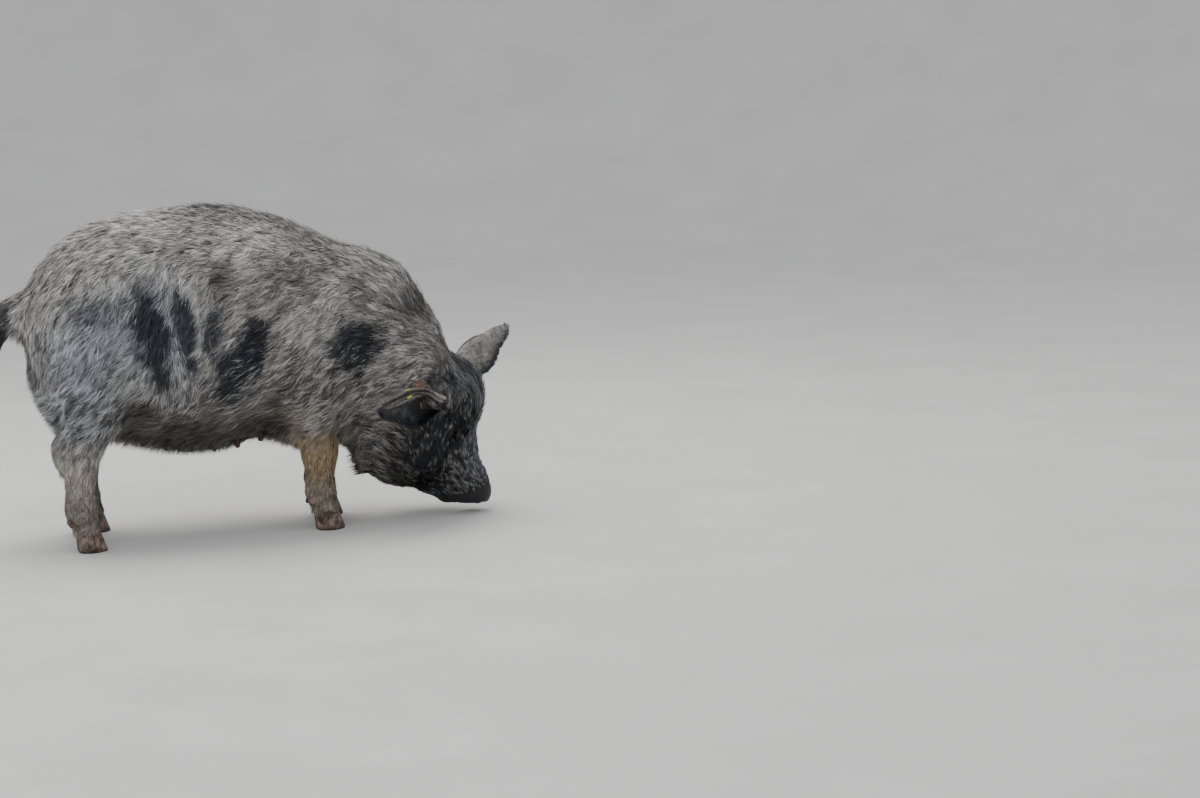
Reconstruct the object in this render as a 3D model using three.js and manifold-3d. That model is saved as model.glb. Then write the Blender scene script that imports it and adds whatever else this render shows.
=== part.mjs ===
// A kunekune sow at life size, standing with her head lowered to the floor and turned to her right.
// Millimetres. +X runs to her head, +Y to her left, +Z up, and the soles lie on z = 0.
// Her flesh is one blended field of ellipsoids and cones, meshed part by part and parted by thin cuts.

import * as THREE from "three";
import { mergeVertices } from "three/addons/utils/BufferGeometryUtils.js";
import Module from "manifold-3d";

const wasm = await Module();
wasm.setup();

// Gap kept between touching pieces
const GAP = 0.3;
const RIGHT = -1;
const LEFT = 1;
const SIDES = { right: RIGHT, left: LEFT };

// Depth of the coat over the skin, and the share of it that is a solid core under the locks
const CORE_SHARE = 0.5;
const BODY_COAT = 10;
const LEG_COAT = 4;
const FACE_COAT = 3;
const LONG_COAT_ABOVE = 260;
const SHORT_COAT_BELOW = 140;

// Detail smaller than this is smoothed away: where locks join the flesh, and on the finished pieces
const COARSE_DETAILS = [0.6, 0.5, 0.7, 0.4, 0.8, 0.3];
const FINE_DETAIL = 0.02;

// Size of the mesh cells on each part
const TORSO_CELL = 40;
const NECK_CELL = 29;
const HEAD_CELL = 18;
const LEG_CELL = 19;

// Places of the legs: x of the pasterns on the right side, and how far the left feet stand ahead
const FORE_X = 113;
const HIND_X = -371;
const LEFT_FORE_AHEAD = 38;
const LEFT_HIND_AHEAD = 42;
const FORE_FOOT_Y = 90;
const HIND_FOOT_Y = 120;

// Pose of the head: the face hangs nearly straight down and turns to her right
const HEAD_YAW = THREE.MathUtils.degToRad(-26);
const HEAD_TILT = THREE.MathUtils.degToRad(2);
const HEAD_ROLL = THREE.MathUtils.degToRad(6);
const HEAD_ORIGIN = vec(418, -52, 318);

// Snout disc
const DISC_PLACE = 287;
const DISC_WIDE = 39;
const DISC_DEEP = 35;
const DISC_THICK = 15;
const DISC_TILT = THREE.MathUtils.degToRad(20);
const NOSTRIL_APART = 13;

// Eyes
const EYE_RADIUS = 12;
const EYE_PROUD = 3.5;

// Least height of the chin
const CHIN_CLEAR = 3;

// Tail
const TAIL_CUT_X = -452;
const TAIL_PATH = [
  vec(-425, 0, 474),
  vec(-458, 3, 466),
  vec(-488, 8, 441),
  vec(-509, 12, 398),
  vec(-520, 14, 338),
  vec(-522, 14, 277),
  vec(-518, 12, 232),
];
const TAIL_RADII = [30, 24, 19, 15, 12, 11, 7];

// Claws
const CLAW_LENGTH = 58;
const CLAW_WIDTH = 27;
const CLAW_HEIGHT = 40;
const CLAW_CLEFT = 3;

// Teats: seven pairs along the belly
const TEAT_PAIRS = 7;
const TEAT_FIRST_X = -232;
const TEAT_LAST_X = 52;
const TEAT_APART = 52;
const TEAT_LENGTH = 20;

// Switch of hair at the end of the tail
const SWITCH_LOCKS = 6;
const SWITCH_LENGTH = 92;
const SWITCH_WIDTH = 17;

// Colours
const TAUPE = 0x6f645c;
const DARK = 0x2b2a30;
const CREAM = 0xb79c7c;
const CLAW_COLOUR = 0x8f7468;
const EYE_COLOUR = 0x17110e;
const TAG_COLOUR = 0xa9c94a;
const SNOUT_COLOUR = 0x33292b;

// Vectors

function vec(x, y, z) {
  return new THREE.Vector3(x, y, z);
}

function alongLine(from, direction, distance) {
  return from.clone().addScaledVector(direction, distance);
}

function smoothstep(low, high, value) {
  const t = Math.min(Math.max((value - low) / (high - low), 0), 1);
  return t * t * (3 - 2 * t);
}

// The head's own axes: down the face, out of the forehead, and to her left
function headAxes() {
  const up = vec(0, 0, 1);
  const ahead = vec(Math.cos(HEAD_YAW), Math.sin(HEAD_YAW), 0);
  const across = up.clone().cross(ahead);
  const down = ahead.clone().multiplyScalar(Math.sin(HEAD_TILT));
  down.addScaledVector(up, -Math.cos(HEAD_TILT));
  const dorsal = ahead.clone().multiplyScalar(Math.cos(HEAD_TILT));
  dorsal.addScaledVector(up, Math.sin(HEAD_TILT));
  const faceDown = down.clone().multiplyScalar(Math.cos(HEAD_ROLL));
  faceDown.addScaledVector(across, Math.sin(HEAD_ROLL));
  const headLeft = across.clone().multiplyScalar(Math.cos(HEAD_ROLL));
  headLeft.addScaledVector(down, -Math.sin(HEAD_ROLL));
  return [faceDown, dorsal, headLeft];
}

const WORLD_AXES = [vec(1, 0, 0), vec(0, 1, 0), vec(0, 0, 1)];
const HEAD_AXES = headAxes();
const [FACE_DOWN, DORSAL, HEAD_LEFT] = HEAD_AXES;

function headVector(down, dorsal, left) {
  return vec(0, 0, 0).addScaledVector(FACE_DOWN, down).addScaledVector(DORSAL, dorsal).addScaledVector(HEAD_LEFT, left);
}

function headPoint(down, dorsal, left) {
  return headVector(down, dorsal, left).add(HEAD_ORIGIN);
}

// Fields: each gives the distance from a point to a surface, below zero inside

function ellipsoid(centre, radii, axes = WORLD_AXES) {
  return (p) => {
    const dx = p.x - centre.x;
    const dy = p.y - centre.y;
    const dz = p.z - centre.z;
    let near = 0;
    let slope = 0;
    axes.forEach((axis, i) => {
      const along = dx * axis.x + dy * axis.y + dz * axis.z;
      const radius = radii[i];
      near += (along / radius) ** 2;
      slope += (along / radius ** 2) ** 2;
    });
    const k = Math.sqrt(near);
    return (k * (k - 1)) / (Math.sqrt(slope) + 1e-9);
  };
}

function cone(start, end, startRadius, endRadius) {
  const axis = end.clone().sub(start);
  const lengthSquared = axis.lengthSq();
  return (p) => {
    const dx = p.x - start.x;
    const dy = p.y - start.y;
    const dz = p.z - start.z;
    const share = (dx * axis.x + dy * axis.y + dz * axis.z) / lengthSquared;
    const h = Math.min(Math.max(share, 0), 1);
    const away = Math.hypot(dx - h * axis.x, dy - h * axis.y, dz - h * axis.z);
    return away - (startRadius + h * (endRadius - startRadius));
  };
}

function blendTwo(a, b, radius) {
  const h = Math.min(Math.max(0.5 + (0.5 * (b - a)) / radius, 0), 1);
  return b + (a - b) * h - radius * h * (1 - h);
}

// Joins [field, blend radius] pairs in turn
function blend(pairs) {
  return (p) => pairs.reduce((sum, [field, radius]) => {
    const value = field(p);
    return sum === null ? value : blendTwo(sum, value, radius);
  }, null);
}

function torsoField() {
  return blend([
    [ellipsoid(vec(-98, 0, 414), [330, 206, 234]), 0],
    [ellipsoid(vec(-262, 0, 442), [170, 168, 174]), 50],
    [ellipsoid(vec(95, 0, 405), [170, 172, 172]), 50],
    [ellipsoid(vec(120, 0, 300), [115, 125, 125]), 40],
  ]);
}

function hindLegField(side, ahead) {
  return blend([
    [ellipsoid(vec(-332 + ahead * 0.3, side * 98, 388), [100, 80, 156]), 0],
    [cone(vec(-318 + ahead * 0.7, side * 116, 310), vec(-357 + ahead, side * 122, 215), 62, 36), 34],
    [cone(vec(HIND_X + 8 + ahead, side * 122, 215), vec(HIND_X + ahead, side * HIND_FOOT_Y, 90), 34, 25), 22],
    [hindPastern(side, ahead), 12],
  ]);
}

function hindPastern(side, ahead) {
  const y = side * HIND_FOOT_Y;
  return cone(vec(HIND_X + ahead, y, 90), vec(HIND_X + 13 + ahead, y, 40), 26, 24);
}

function foreLegField(side, ahead) {
  return blend([
    [ellipsoid(vec(90, side * 100, 365), [108, 78, 150]), 0],
    [cone(vec(92 + ahead * 0.6, side * 112, 275), vec(FORE_X + ahead, side * 96, 170), 58, 31), 36],
    [cone(vec(FORE_X + ahead, side * 96, 172), vec(FORE_X + ahead, side * FORE_FOOT_Y, 85), 31, 26), 14],
    [forePastern(side, ahead), 12],
  ]);
}

function forePastern(side, ahead) {
  const y = side * FORE_FOOT_Y;
  return cone(vec(FORE_X + ahead, y, 85), vec(FORE_X + 10 + ahead, y, 40), 27, 24);
}

function neckField() {
  return blend([
    [ellipsoid(vec(222, -14, 368), [138, 142, 180]), 0],
    [ellipsoid(vec(308, -36, 298), [90, 116, 130]), 40],
    [ellipsoid(vec(286, -38, 208), [94, 124, 134]), 40],
  ]);
}

function headField() {
  const cheek = (side) => ellipsoid(headPoint(138, -98, side * 60), [94, 72, 56], HEAD_AXES);
  const brow = (side) => ellipsoid(headPoint(108, 4, side * 42), [34, 26, 26], HEAD_AXES);
  return blend([
    [ellipsoid(headPoint(70, -20, 0), [73, 64, 80], HEAD_AXES), 0],
    [cone(headPoint(120, -40, 0), headPoint(238, -14, 0), 60, 40), 30],
    [brow(LEFT), 20],
    [brow(RIGHT), 20],
    [cone(headPoint(192, -104, 0), headPoint(268, -46, 0), 68, 31), 36],
    [cheek(LEFT), 40],
    [cheek(RIGHT), 40],
    [cone(headPoint(250, -2, 0), headPoint(276, 4, 0), 39, 40), 12],
  ]);
}

// The fold of skin and hair that runs from the stifle forward to the belly
function flankFold(side) {
  return cone(vec(-268, side * 146, 318), vec(-150, side * 158, 268), 16, 10);
}

function tailHeadField() {
  return cone(vec(-400, 0, 470), vec(-470, 4, 460), 40, 24);
}

function bodyField() {
  return blend([
    [torsoField(), 0],
    [hindLegField(RIGHT, 0), 40],
    [hindLegField(LEFT, LEFT_HIND_AHEAD), 40],
    [foreLegField(RIGHT, 0), 36],
    [foreLegField(LEFT, LEFT_FORE_AHEAD), 36],
    [flankFold(RIGHT), 24],
    [flankFold(LEFT), 24],
    [tailHeadField(), 24],
    [neckField(), 40],
    [headField(), 34],
  ]);
}

const skin = bodyField();

const FACE_COAT_POINT = headPoint(-20, -45, 0);
const FACE_COAT_NORMAL = headVector(0.52, 0.856, 0);

// Depth of the coat at a point: long on the trunk and neck, short on the legs and the face
function coatDepth(p) {
  const body = LEG_COAT + (BODY_COAT - LEG_COAT) * smoothstep(SHORT_COAT_BELOW, LONG_COAT_ABOVE, p.z);
  const beyondNape = p.clone().sub(FACE_COAT_POINT).dot(FACE_COAT_NORMAL);
  return body + (FACE_COAT - body) * smoothstep(-60, 40, beyondNape);
}

// The solid surface: the short coat in full, and the core of the long one
function coreSurface(p) {
  return skin(p) - Math.max(coatDepth(p) * CORE_SHARE, FACE_COAT);
}

function gradient(field, p) {
  const step = 1;
  const slope = WORLD_AXES.map((axis) => {
    return field(alongLine(p, axis, step)) - field(alongLine(p, axis, -step));
  });
  return vec(...slope).divideScalar(2 * step);
}

// The point of a surface that a line from outside meets first
function firstHit(field, from, direction) {
  const p = from.clone();
  for (let i = 0; i < 200; i += 1) {
    const distance = field(p);
    if (distance < 0.01) {
      break;
    }
    p.addScaledVector(direction, Math.max(distance * 0.6, 0.01));
  }
  return p;
}

// Solids

function solid(points, triangles) {
  const vertProperties = new Float32Array(points.flatMap((p) => [p.x, p.y, p.z]));
  const triVerts = new Uint32Array(triangles.flat());
  const mesh = new wasm.Mesh({ numProp: 3, vertProperties, triVerts });
  return new wasm.Manifold(mesh);
}

function solidFromGeometry(geometry) {
  geometry.deleteAttribute("normal");
  geometry.deleteAttribute("uv");
  const merged = mergeVertices(geometry, 1e-3);
  const position = merged.getAttribute("position");
  const points = Array.from({ length: position.count }, (_, i) => vec(0, 0, 0).fromBufferAttribute(position, i));
  const index = Array.from(merged.getIndex().array);
  const triangles = [];
  for (let i = 0; i < index.length; i += 3) {
    triangles.push([index[i], index[i + 1], index[i + 2]]);
  }
  return solid(points, triangles);
}

function largestPiece(shape) {
  const pieces = shape.decompose();
  return pieces.reduce((best, piece) => (piece.volume() > best.volume() ? piece : best));
}

function unite(shapes) {
  return shapes.reduce((sum, shape) => sum.add(shape));
}

// Keeps the side of a plane that its normal points to
function keepBeyond(shape, point, normal, gap = GAP / 2) {
  const unit = normal.clone().normalize();
  return shape.trimByPlane([unit.x, unit.y, unit.z], unit.dot(point) + gap);
}

function keepBehind(shape, point, normal, gap = GAP / 2) {
  return keepBeyond(shape, point, normal.clone().negate(), gap);
}

// Cuts a piece clear of the one that it grows from, which lies opposite to the direction away
function seatOn(piece, host, away) {
  const ahead = away.clone().normalize();
  const side = vec(0.3, 0.4, 0.85).cross(ahead).normalize();
  const rise = ahead.clone().cross(side);
  const shifts = [ahead, side, side.clone().negate(), rise, rise.clone().negate()];
  const cutters = shifts.map((way) => host.translate([way.x * GAP, way.y * GAP, way.z * GAP]));
  return largestPiece(cutters.reduce((shape, cutter) => shape.subtract(cutter), piece.subtract(host)));
}

// Rings of points joined in turn, with both ends closed
function loft(rings, tip = null) {
  const count = rings[0].length;
  const points = tip === null ? rings.flat() : [...rings.flat(), tip];
  const triangles = [];
  for (let i = 0; i < rings.length - 1; i += 1) {
    for (let j = 0; j < count; j += 1) {
      const a = i * count + j;
      const b = i * count + ((j + 1) % count);
      triangles.push([a, b, b + count], [a, b + count, a + count]);
    }
  }
  const last = (rings.length - 1) * count;
  for (let j = 1; j < count - 1; j += 1) {
    triangles.push([0, j + 1, j]);
    if (tip === null) {
      triangles.push([last, last + j, last + j + 1]);
    }
  }
  if (tip !== null) {
    for (let j = 0; j < count; j += 1) {
      triangles.push([last + j, last + ((j + 1) % count), points.length - 1]);
    }
  }
  return facingOut(points, triangles);
}

function facingOut(points, triangles) {
  let volume = 0;
  triangles.forEach(([a, b, c]) => {
    volume += points[a].dot(points[b].clone().cross(points[c]));
  });
  return solid(points, volume < 0 ? triangles.map(([a, b, c]) => [a, c, b]) : triangles);
}

// A round bar along a list of points
function bar(path, radii, sides) {
  const rings = path.map((point, i) => {
    const before = path[Math.max(i - 1, 0)];
    const after = path[Math.min(i + 1, path.length - 1)];
    const along = after.clone().sub(before).normalize();
    const helper = Math.abs(along.z) < 0.9 ? vec(0, 0, 1) : vec(1, 0, 0);
    const u = helper.clone().cross(along).normalize();
    const w = along.clone().cross(u);
    return Array.from({ length: sides }, (_, j) => {
      const angle = (2 * Math.PI * j) / sides;
      const out = u.clone().multiplyScalar(Math.cos(angle) * radii[i]);
      return out.addScaledVector(w, Math.sin(angle) * radii[i]).add(point);
    });
  });
  return loft(rings);
}

// A ball stretched along three axes
function ball(centre, radii, axes, across = 14, around = 10) {
  const shape = solidFromGeometry(new THREE.SphereGeometry(1, across, around));
  const columns = axes.flatMap((axis, i) => [axis.x * radii[i], axis.y * radii[i], axis.z * radii[i], 0]);
  return shape.transform([...columns, centre.x, centre.y, centre.z, 1]);
}

// Meshes the zero level of a field inside a box, with one vertex in each cell that it crosses
function meshField(field, low, high, cell) {
  const counts = ["x", "y", "z"].map((key) => Math.ceil((high[key] - low[key]) / cell) + 1);
  const [nx, ny, nz] = counts;
  const place = (i, j, k) => vec(low.x + i * cell, low.y + j * cell, low.z + k * cell);
  const nodeIndex = (i, j, k) => i + nx * (j + ny * k);
  const values = new Float64Array(nx * ny * nz);
  for (let k = 0; k < nz; k += 1) {
    for (let j = 0; j < ny; j += 1) {
      for (let i = 0; i < nx; i += 1) {
        const onEdge = i === 0 || j === 0 || k === 0 || i === nx - 1 || j === ny - 1 || k === nz - 1;
        const value = field(place(i, j, k));
        values[nodeIndex(i, j, k)] = onEdge ? Math.max(value, cell * 0.1) : value;
      }
    }
  }
  const corners = [0, 1, 2, 3, 4, 5, 6, 7].map((c) => [c & 1, (c >> 1) & 1, (c >> 2) & 1]);
  const edges = [[0, 1], [2, 3], [4, 5], [6, 7], [0, 2], [1, 3], [4, 6], [5, 7], [0, 4], [1, 5], [2, 6], [3, 7]];
  const points = [];
  const cellVertex = new Int32Array(nx * ny * nz).fill(-1);
  for (let k = 0; k < nz - 1; k += 1) {
    for (let j = 0; j < ny - 1; j += 1) {
      for (let i = 0; i < nx - 1; i += 1) {
        const at = corners.map(([a, b, c]) => values[nodeIndex(i + a, j + b, k + c)]);
        const sum = vec(0, 0, 0);
        let crossings = 0;
        edges.forEach(([a, b]) => {
          if (at[a] < 0 !== at[b] < 0) {
            const t = at[a] / (at[a] - at[b]);
            const start = corners[a];
            const end = corners[b];
            sum.add(place(...[0, 1, 2].map((m) => [i, j, k][m] + start[m] + t * (end[m] - start[m]))));
            crossings += 1;
          }
        });
        if (crossings > 0) {
          cellVertex[nodeIndex(i, j, k)] = points.length;
          points.push(sum.divideScalar(crossings));
        }
      }
    }
  }
  const triangles = [];
  const steps = [[1, 0, 0], [0, 1, 0], [0, 0, 1]];
  for (let k = 0; k < nz - 1; k += 1) {
    for (let j = 0; j < ny - 1; j += 1) {
      for (let i = 0; i < nx - 1; i += 1) {
        const here = values[nodeIndex(i, j, k)];
        steps.forEach(([a, b, c], axis) => {
          const next = values[nodeIndex(i + a, j + b, k + c)];
          if (here < 0 === next < 0) {
            return;
          }
          const u = steps[(axis + 1) % 3];
          const w = steps[(axis + 2) % 3];
          const around = [[0, 0], [1, 0], [1, 1], [0, 1]].map(([m, n]) => {
            return cellVertex[nodeIndex(i - m * u[0] - n * w[0], j - m * u[1] - n * w[1], k - m * u[2] - n * w[2])];
          });
          const [p, q, r, s] = here < 0 ? around : around.reverse();
          const straight = points[p].distanceTo(points[r]) < points[q].distanceTo(points[s]);
          triangles.push(...(straight ? [[p, q, r], [p, r, s]] : [[q, r, s], [q, s, p]]));
        });
      }
    }
  }
  points.forEach((point) => settle(field, point, cell));
  return solid(points, triangles);
}

// Moves a vertex onto the surface, by no more than part of a cell
function settle(field, point, cell) {
  const slope = gradient(field, point);
  const move = -field(point) / Math.max(slope.lengthSq(), 0.3);
  const limit = (0.3 * cell) / Math.max(slope.length(), 0.3);
  point.addScaledVector(slope, Math.min(Math.max(move, -limit), limit));
}

// Coat: flat, tapered locks laid along the lie of the hair over the core

const LOCK_SEED = 27;
const LOCK_STATIONS = [0, 0.36, 0.76];
const LOCK_WIDTHS = [0.7, 1, 0.66];
const LOCK_HEIGHTS = [-10, -0.5, 2.5];
const LOCK_EDGE_DROP = 4.5;
const LOCK_THICK = 4.5;
const BODY_LOCK = { length: 120, width: 72, apartAlong: 88, apartAcross: 64, rise: 5.5 };
const FACE_LOCK = { length: 64, width: 40, apartAlong: 48, apartAcross: 38, rise: 3 };
const LEG_LOCK = { length: 86, width: 50, apartAlong: 66, apartAcross: 48, rise: 4 };
const EAR_CLEAR = 58;
const EYE_CLEAR = 46;

function randomSource(seed) {
  let state = seed;
  return () => {
    state = (state * 1664525 + 1013904223) % 4294967296;
    return state / 4294967296;
  };
}

// Which way the hair lies: back along the spine, down the flanks and legs, up the forehead to the poll
function hairLie(p) {
  const beyondNape = p.clone().sub(FACE_COAT_POINT).dot(FACE_COAT_NORMAL);
  const onFace = smoothstep(-10, 70, beyondNape);
  const onNeck = smoothstep(120, 280, p.x);
  const low = 1 - smoothstep(380, 600, p.z);
  const onRump = smoothstep(-250, -400, p.x);
  const trunk = vec(-1 + 0.45 * low - 0.25 * onRump, 0, -0.2 - 0.95 * low - 0.5 * onRump);
  const neck = vec(-0.9, 0, 0.75 - 0.95 * low);
  const face = FACE_DOWN.clone().multiplyScalar(-1).addScaledVector(DORSAL, -0.35);
  return trunk.lerp(neck, onNeck).lerp(face, onFace).normalize();
}

function acrossSurface(direction, normal) {
  return direction.clone().addScaledVector(normal, -direction.dot(normal)).normalize();
}

function onSurface(field, point) {
  const p = point.clone();
  for (let i = 0; i < 4; i += 1) {
    const slope = gradient(field, p);
    p.addScaledVector(slope, -field(p) / Math.max(slope.lengthSq(), 0.3));
  }
  return p;
}

// One lock, from its sunk root along the lie to its tip, bending to one side
function coatLock(root, kind, scale, bend) {
  const rings = [];
  let place = root.clone();
  let walked = 0;
  const frameAt = (p) => {
    const normal = gradient(coreSurface, p).normalize();
    const along = acrossSurface(hairLie(p), normal);
    return { normal, along, across: normal.clone().cross(along) };
  };
  const walkTo = (share) => {
    const { along, across } = frameAt(place);
    const step = (share - walked) * kind.length * scale;
    walked = share;
    place = onSurface(coreSurface, place.addScaledVector(along, step).addScaledVector(across, bend * share * step));
    return { p: place.clone(), ...frameAt(place) };
  };
  LOCK_STATIONS.forEach((share, i) => {
    const { p, normal, across } = walkTo(share);
    const centre = alongLine(p, normal, LOCK_HEIGHTS[i] + kind.rise * share);
    const half = (kind.width * LOCK_WIDTHS[i]) / 2;
    const edge = alongLine(centre, normal, -LOCK_EDGE_DROP);
    rings.push([
      alongLine(edge, across, -half),
      alongLine(edge, across, half),
      alongLine(centre, normal, LOCK_THICK * (1 - 0.5 * share)),
    ]);
  });
  const { p, normal } = walkTo(1);
  return loft(rings, alongLine(p, normal, kind.rise + 1.5));
}

function lockKind(p) {
  const beyondNape = p.clone().sub(FACE_COAT_POINT).dot(FACE_COAT_NORMAL);
  if (beyondNape > 10) {
    return FACE_LOCK;
  }
  return p.z < 290 && p.x < 200 ? LEG_LOCK : BODY_LOCK;
}

// Bare or short-haired places: muzzle, eyes, ears' roots, belly and lower legs
function carriesLock(p) {
  const head = p.clone().sub(HEAD_ORIGIN);
  const onMuzzle = head.dot(FACE_DOWN) > 150 && head.dot(DORSAL) > -110 && p.x > 300;
  const onBelly = p.z < 250 && Math.abs(p.y) < 120 && p.x < 220;
  const onLeg = p.z < 215 && p.x < 220;
  const underThroat = p.z < 120;
  const byEar = Object.values(EARS).some((ear) => earSeat(ear).distanceTo(p) < EAR_CLEAR);
  const byEye = Object.values(SIDES).some((side) => headPoint(146, 0, side * 60).distanceTo(p) < EYE_CLEAR);
  return !(onMuzzle || onBelly || onLeg || underThroat || byEar || byEye);
}

function tooClose(p, kind, others) {
  const normal = gradient(coreSurface, p).normalize();
  const along = acrossSurface(hairLie(p), normal);
  const across = normal.clone().cross(along);
  return others.some((other) => {
    const gap = p.clone().sub(other);
    const far = (gap.dot(along) / kind.apartAlong) ** 2 + (gap.dot(across) / kind.apartAcross) ** 2;
    return far + (gap.dot(normal) / kind.apartAcross) ** 2 < 1;
  });
}

function coatLocks() {
  const random = randomSource(LOCK_SEED);
  const roots = [];
  const locks = [];
  const tries = 9000;
  for (let i = 0; i < tries; i += 1) {
    const middle = vec(-440 + 900 * random(), 0, 360);
    const turn = 2 * Math.PI * random();
    const out = vec(0, Math.sin(turn), Math.cos(turn));
    const from = alongLine(middle, out, 420);
    const p = firstHit(coreSurface, from, out.clone().negate());
    if (p.distanceTo(from) > 415 || !carriesLock(p)) {
      continue;
    }
    const kind = lockKind(p);
    if (tooClose(p, kind, roots)) {
      continue;
    }
    roots.push(p);
    locks.push(coatLock(p, kind, 0.85 + 0.3 * random(), 0.5 * (random() - 0.5)));
  }
  return locks;
}

function nearShape(shape, locks) {
  const { min, max } = shape.boundingBox();
  return locks.filter((lock) => {
    const box = lock.boundingBox();
    return [0, 1, 2].every((i) => box.min[i] < max[i] && box.max[i] > min[i]);
  });
}

function hasDoubledEdge(shape) {
  const { vertProperties, triVerts } = shape.getMesh();
  const places = Array.from({ length: vertProperties.length / 3 }, (_, i) => {
    return [0, 1, 2].map((k) => Math.round(vertProperties[3 * i + k] * 1000)).join();
  });
  const edges = new Set();
  for (let i = 0; i < triVerts.length; i += 3) {
    for (let k = 0; k < 3; k += 1) {
      const edge = `${places[triVerts[i + k]]} ${places[triVerts[i + ((k + 1) % 3)]]}`;
      if (edges.has(edge)) {
        return true;
      }
      edges.add(edge);
    }
  }
  return false;
}

// Joins the locks near a part to its flesh, trims them as the part is trimmed, and finishes the part.
// The smoothing detail is the first of the list that leaves no edge lying on another.
function withLocks(bare, locks, trim, finish = (shape) => shape) {
  const joined = wasm.Manifold.union([bare, ...nearShape(bare, locks)]).asOriginal();
  const versions = COARSE_DETAILS.map((detail) => () => finish(trim(joined.simplify(detail))));
  return versions.reduce((found, make) => {
    if (found !== null) {
      return found;
    }
    const shape = largestPiece(make().asOriginal().simplify(FINE_DETAIL));
    return hasDoubledEdge(shape) ? null : shape;
  }, null);
}

// Cuts between the parts

const HEAD_CUT_POINT = headPoint(-20, -75, 0);
const HEAD_CUT_NORMAL = headVector(0.31, 0.95, 0);
const NECK_CUT_POINT = vec(183, 0, 400);
const NECK_CUT_NORMAL = vec(1, 0, 0.02);
const FORE_ZONE = { back: 12, front: 182, inner: [44, 160], outer: [210, 250] };
const HIND_ZONE = { back: -450, front: -246, inner: [42, 170], outer: [215, 262] };

// The space of one leg: a prism below a slanting face that rises outward
function legZone(zone, side, ahead, grow) {
  const [innerY, innerZ] = zone.inner;
  const [outerY, outerZ] = zone.outer;
  const outline = [
    [innerY - grow, -50],
    [outerY, -50],
    [outerY, outerZ + grow * 1.4],
    [innerY - grow, innerZ + grow * 1.4],
  ];
  const back = zone.back + ahead - grow;
  const front = zone.front + ahead * 0.7 + grow;
  return loft([back, front].map((x) => outline.map(([y, z]) => vec(x, side * y, z))));
}

function legSolid(field, zone, side, ahead) {
  const low = vec(zone.back + ahead - LEG_CELL, side === LEFT ? 20 : -230, -20);
  const high = vec(zone.front + ahead + LEG_CELL, side === LEFT ? 230 : -20, 350);
  const flesh = meshField(field, low, high, LEG_CELL);
  return largestPiece(flesh.intersect(legZone(zone, side, ahead, -GAP / 2)));
}

// Places of the two claws of a foot and the slanting line where hair meets horn
function footPlace(foreFoot, side, ahead) {
  const x = foreFoot ? FORE_X + 10 + ahead : HIND_X + 13 + ahead;
  const y = side * (foreFoot ? FORE_FOOT_Y : HIND_FOOT_Y);
  return vec(x, y, 0);
}

const HOOF_LINE_NORMAL = vec(0.2, 0, 1).normalize();

function hoofLinePoint(foot) {
  return vec(foot.x, foot.y, CLAW_HEIGHT);
}

// One claw: a half oval sole, flat at the cleft, leaning back as it rises
function claw(foot, outside) {
  const levels = [0, 0.6, 1.25];
  const outlinePoints = 8;
  const rings = levels.map((level) => {
    const shrink = 1 - 0.16 * level;
    const lean = -9 * level;
    return Array.from({ length: outlinePoints }, (_, i) => {
      const angle = -Math.PI / 2 + (Math.PI * i) / (outlinePoints - 1);
      const toe = 1 - 0.35 * Math.max(Math.sin(angle), 0) ** 2;
      const across = CLAW_CLEFT + CLAW_WIDTH * shrink * toe * Math.cos(angle) ** 0.75;
      const along = (CLAW_LENGTH / 2) * shrink * Math.sin(angle) + 8 + lean;
      const toeIn = 0.12 * Math.max(along, 0);
      return vec(foot.x + along, foot.y + outside * Math.max(across - toeIn, CLAW_CLEFT), level * CLAW_HEIGHT);
    });
  });
  return keepBehind(loft(rings), hoofLinePoint(foot), HOOF_LINE_NORMAL);
}

function dewclaw(foot, outside) {
  const root = vec(foot.x - 16, foot.y + outside * 13, 78);
  const tip = vec(foot.x - 36, foot.y + outside * 17, 52);
  const middle = root.clone().lerp(tip, 0.55);
  return bar([root, middle, tip], [10, 9.5, 4], 6);
}

// Eyes and lids

function eyePlace(side) {
  const outward = headVector(-0.1, 0.36, side * 0.9).normalize();
  const from = alongLine(headPoint(146, -9, side * 40), outward, 120);
  const onSkin = firstHit(coreSurface, from, outward.clone().negate());
  const centre = alongLine(onSkin, outward, EYE_PROUD - EYE_RADIUS);
  return { centre, outward };
}

function eyeball(side, radius) {
  return ball(eyePlace(side).centre, [radius, radius, radius], WORLD_AXES, 12, 8);
}

// A lid is a bar bent over the eyeball from corner to corner
function lid(side, rise, thickness) {
  const { centre, outward } = eyePlace(side);
  const dorsal = DORSAL.clone().addScaledVector(outward, -DORSAL.dot(outward)).normalize();
  const long = outward.clone().cross(dorsal);
  const steps = 6;
  const reach = THREE.MathUtils.degToRad(62);
  const path = Array.from({ length: steps }, (_, i) => {
    const turn = reach * (-1 + (2 * i) / (steps - 1));
    const lift = THREE.MathUtils.degToRad(rise) * Math.cos((turn / reach) * (Math.PI / 2));
    const direction = outward.clone().multiplyScalar(Math.cos(lift) * Math.cos(turn));
    direction.addScaledVector(long, Math.cos(lift) * Math.sin(turn));
    direction.addScaledVector(dorsal, Math.sin(lift));
    return alongLine(centre, direction, EYE_RADIUS + 0.6);
  });
  const radii = path.map((_, i) => thickness * (0.75 + 0.5 * Math.sin((Math.PI * i) / (steps - 1))));
  return bar(path, radii, 5);
}

// Mouth: half of its line, from under the snout back to the corner, as places down the face and behind it
const MOUTH_LINE = [[277, -46], [258, -50], [236, -56], [212, -64], [188, -68], [168, -62]];

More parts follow.
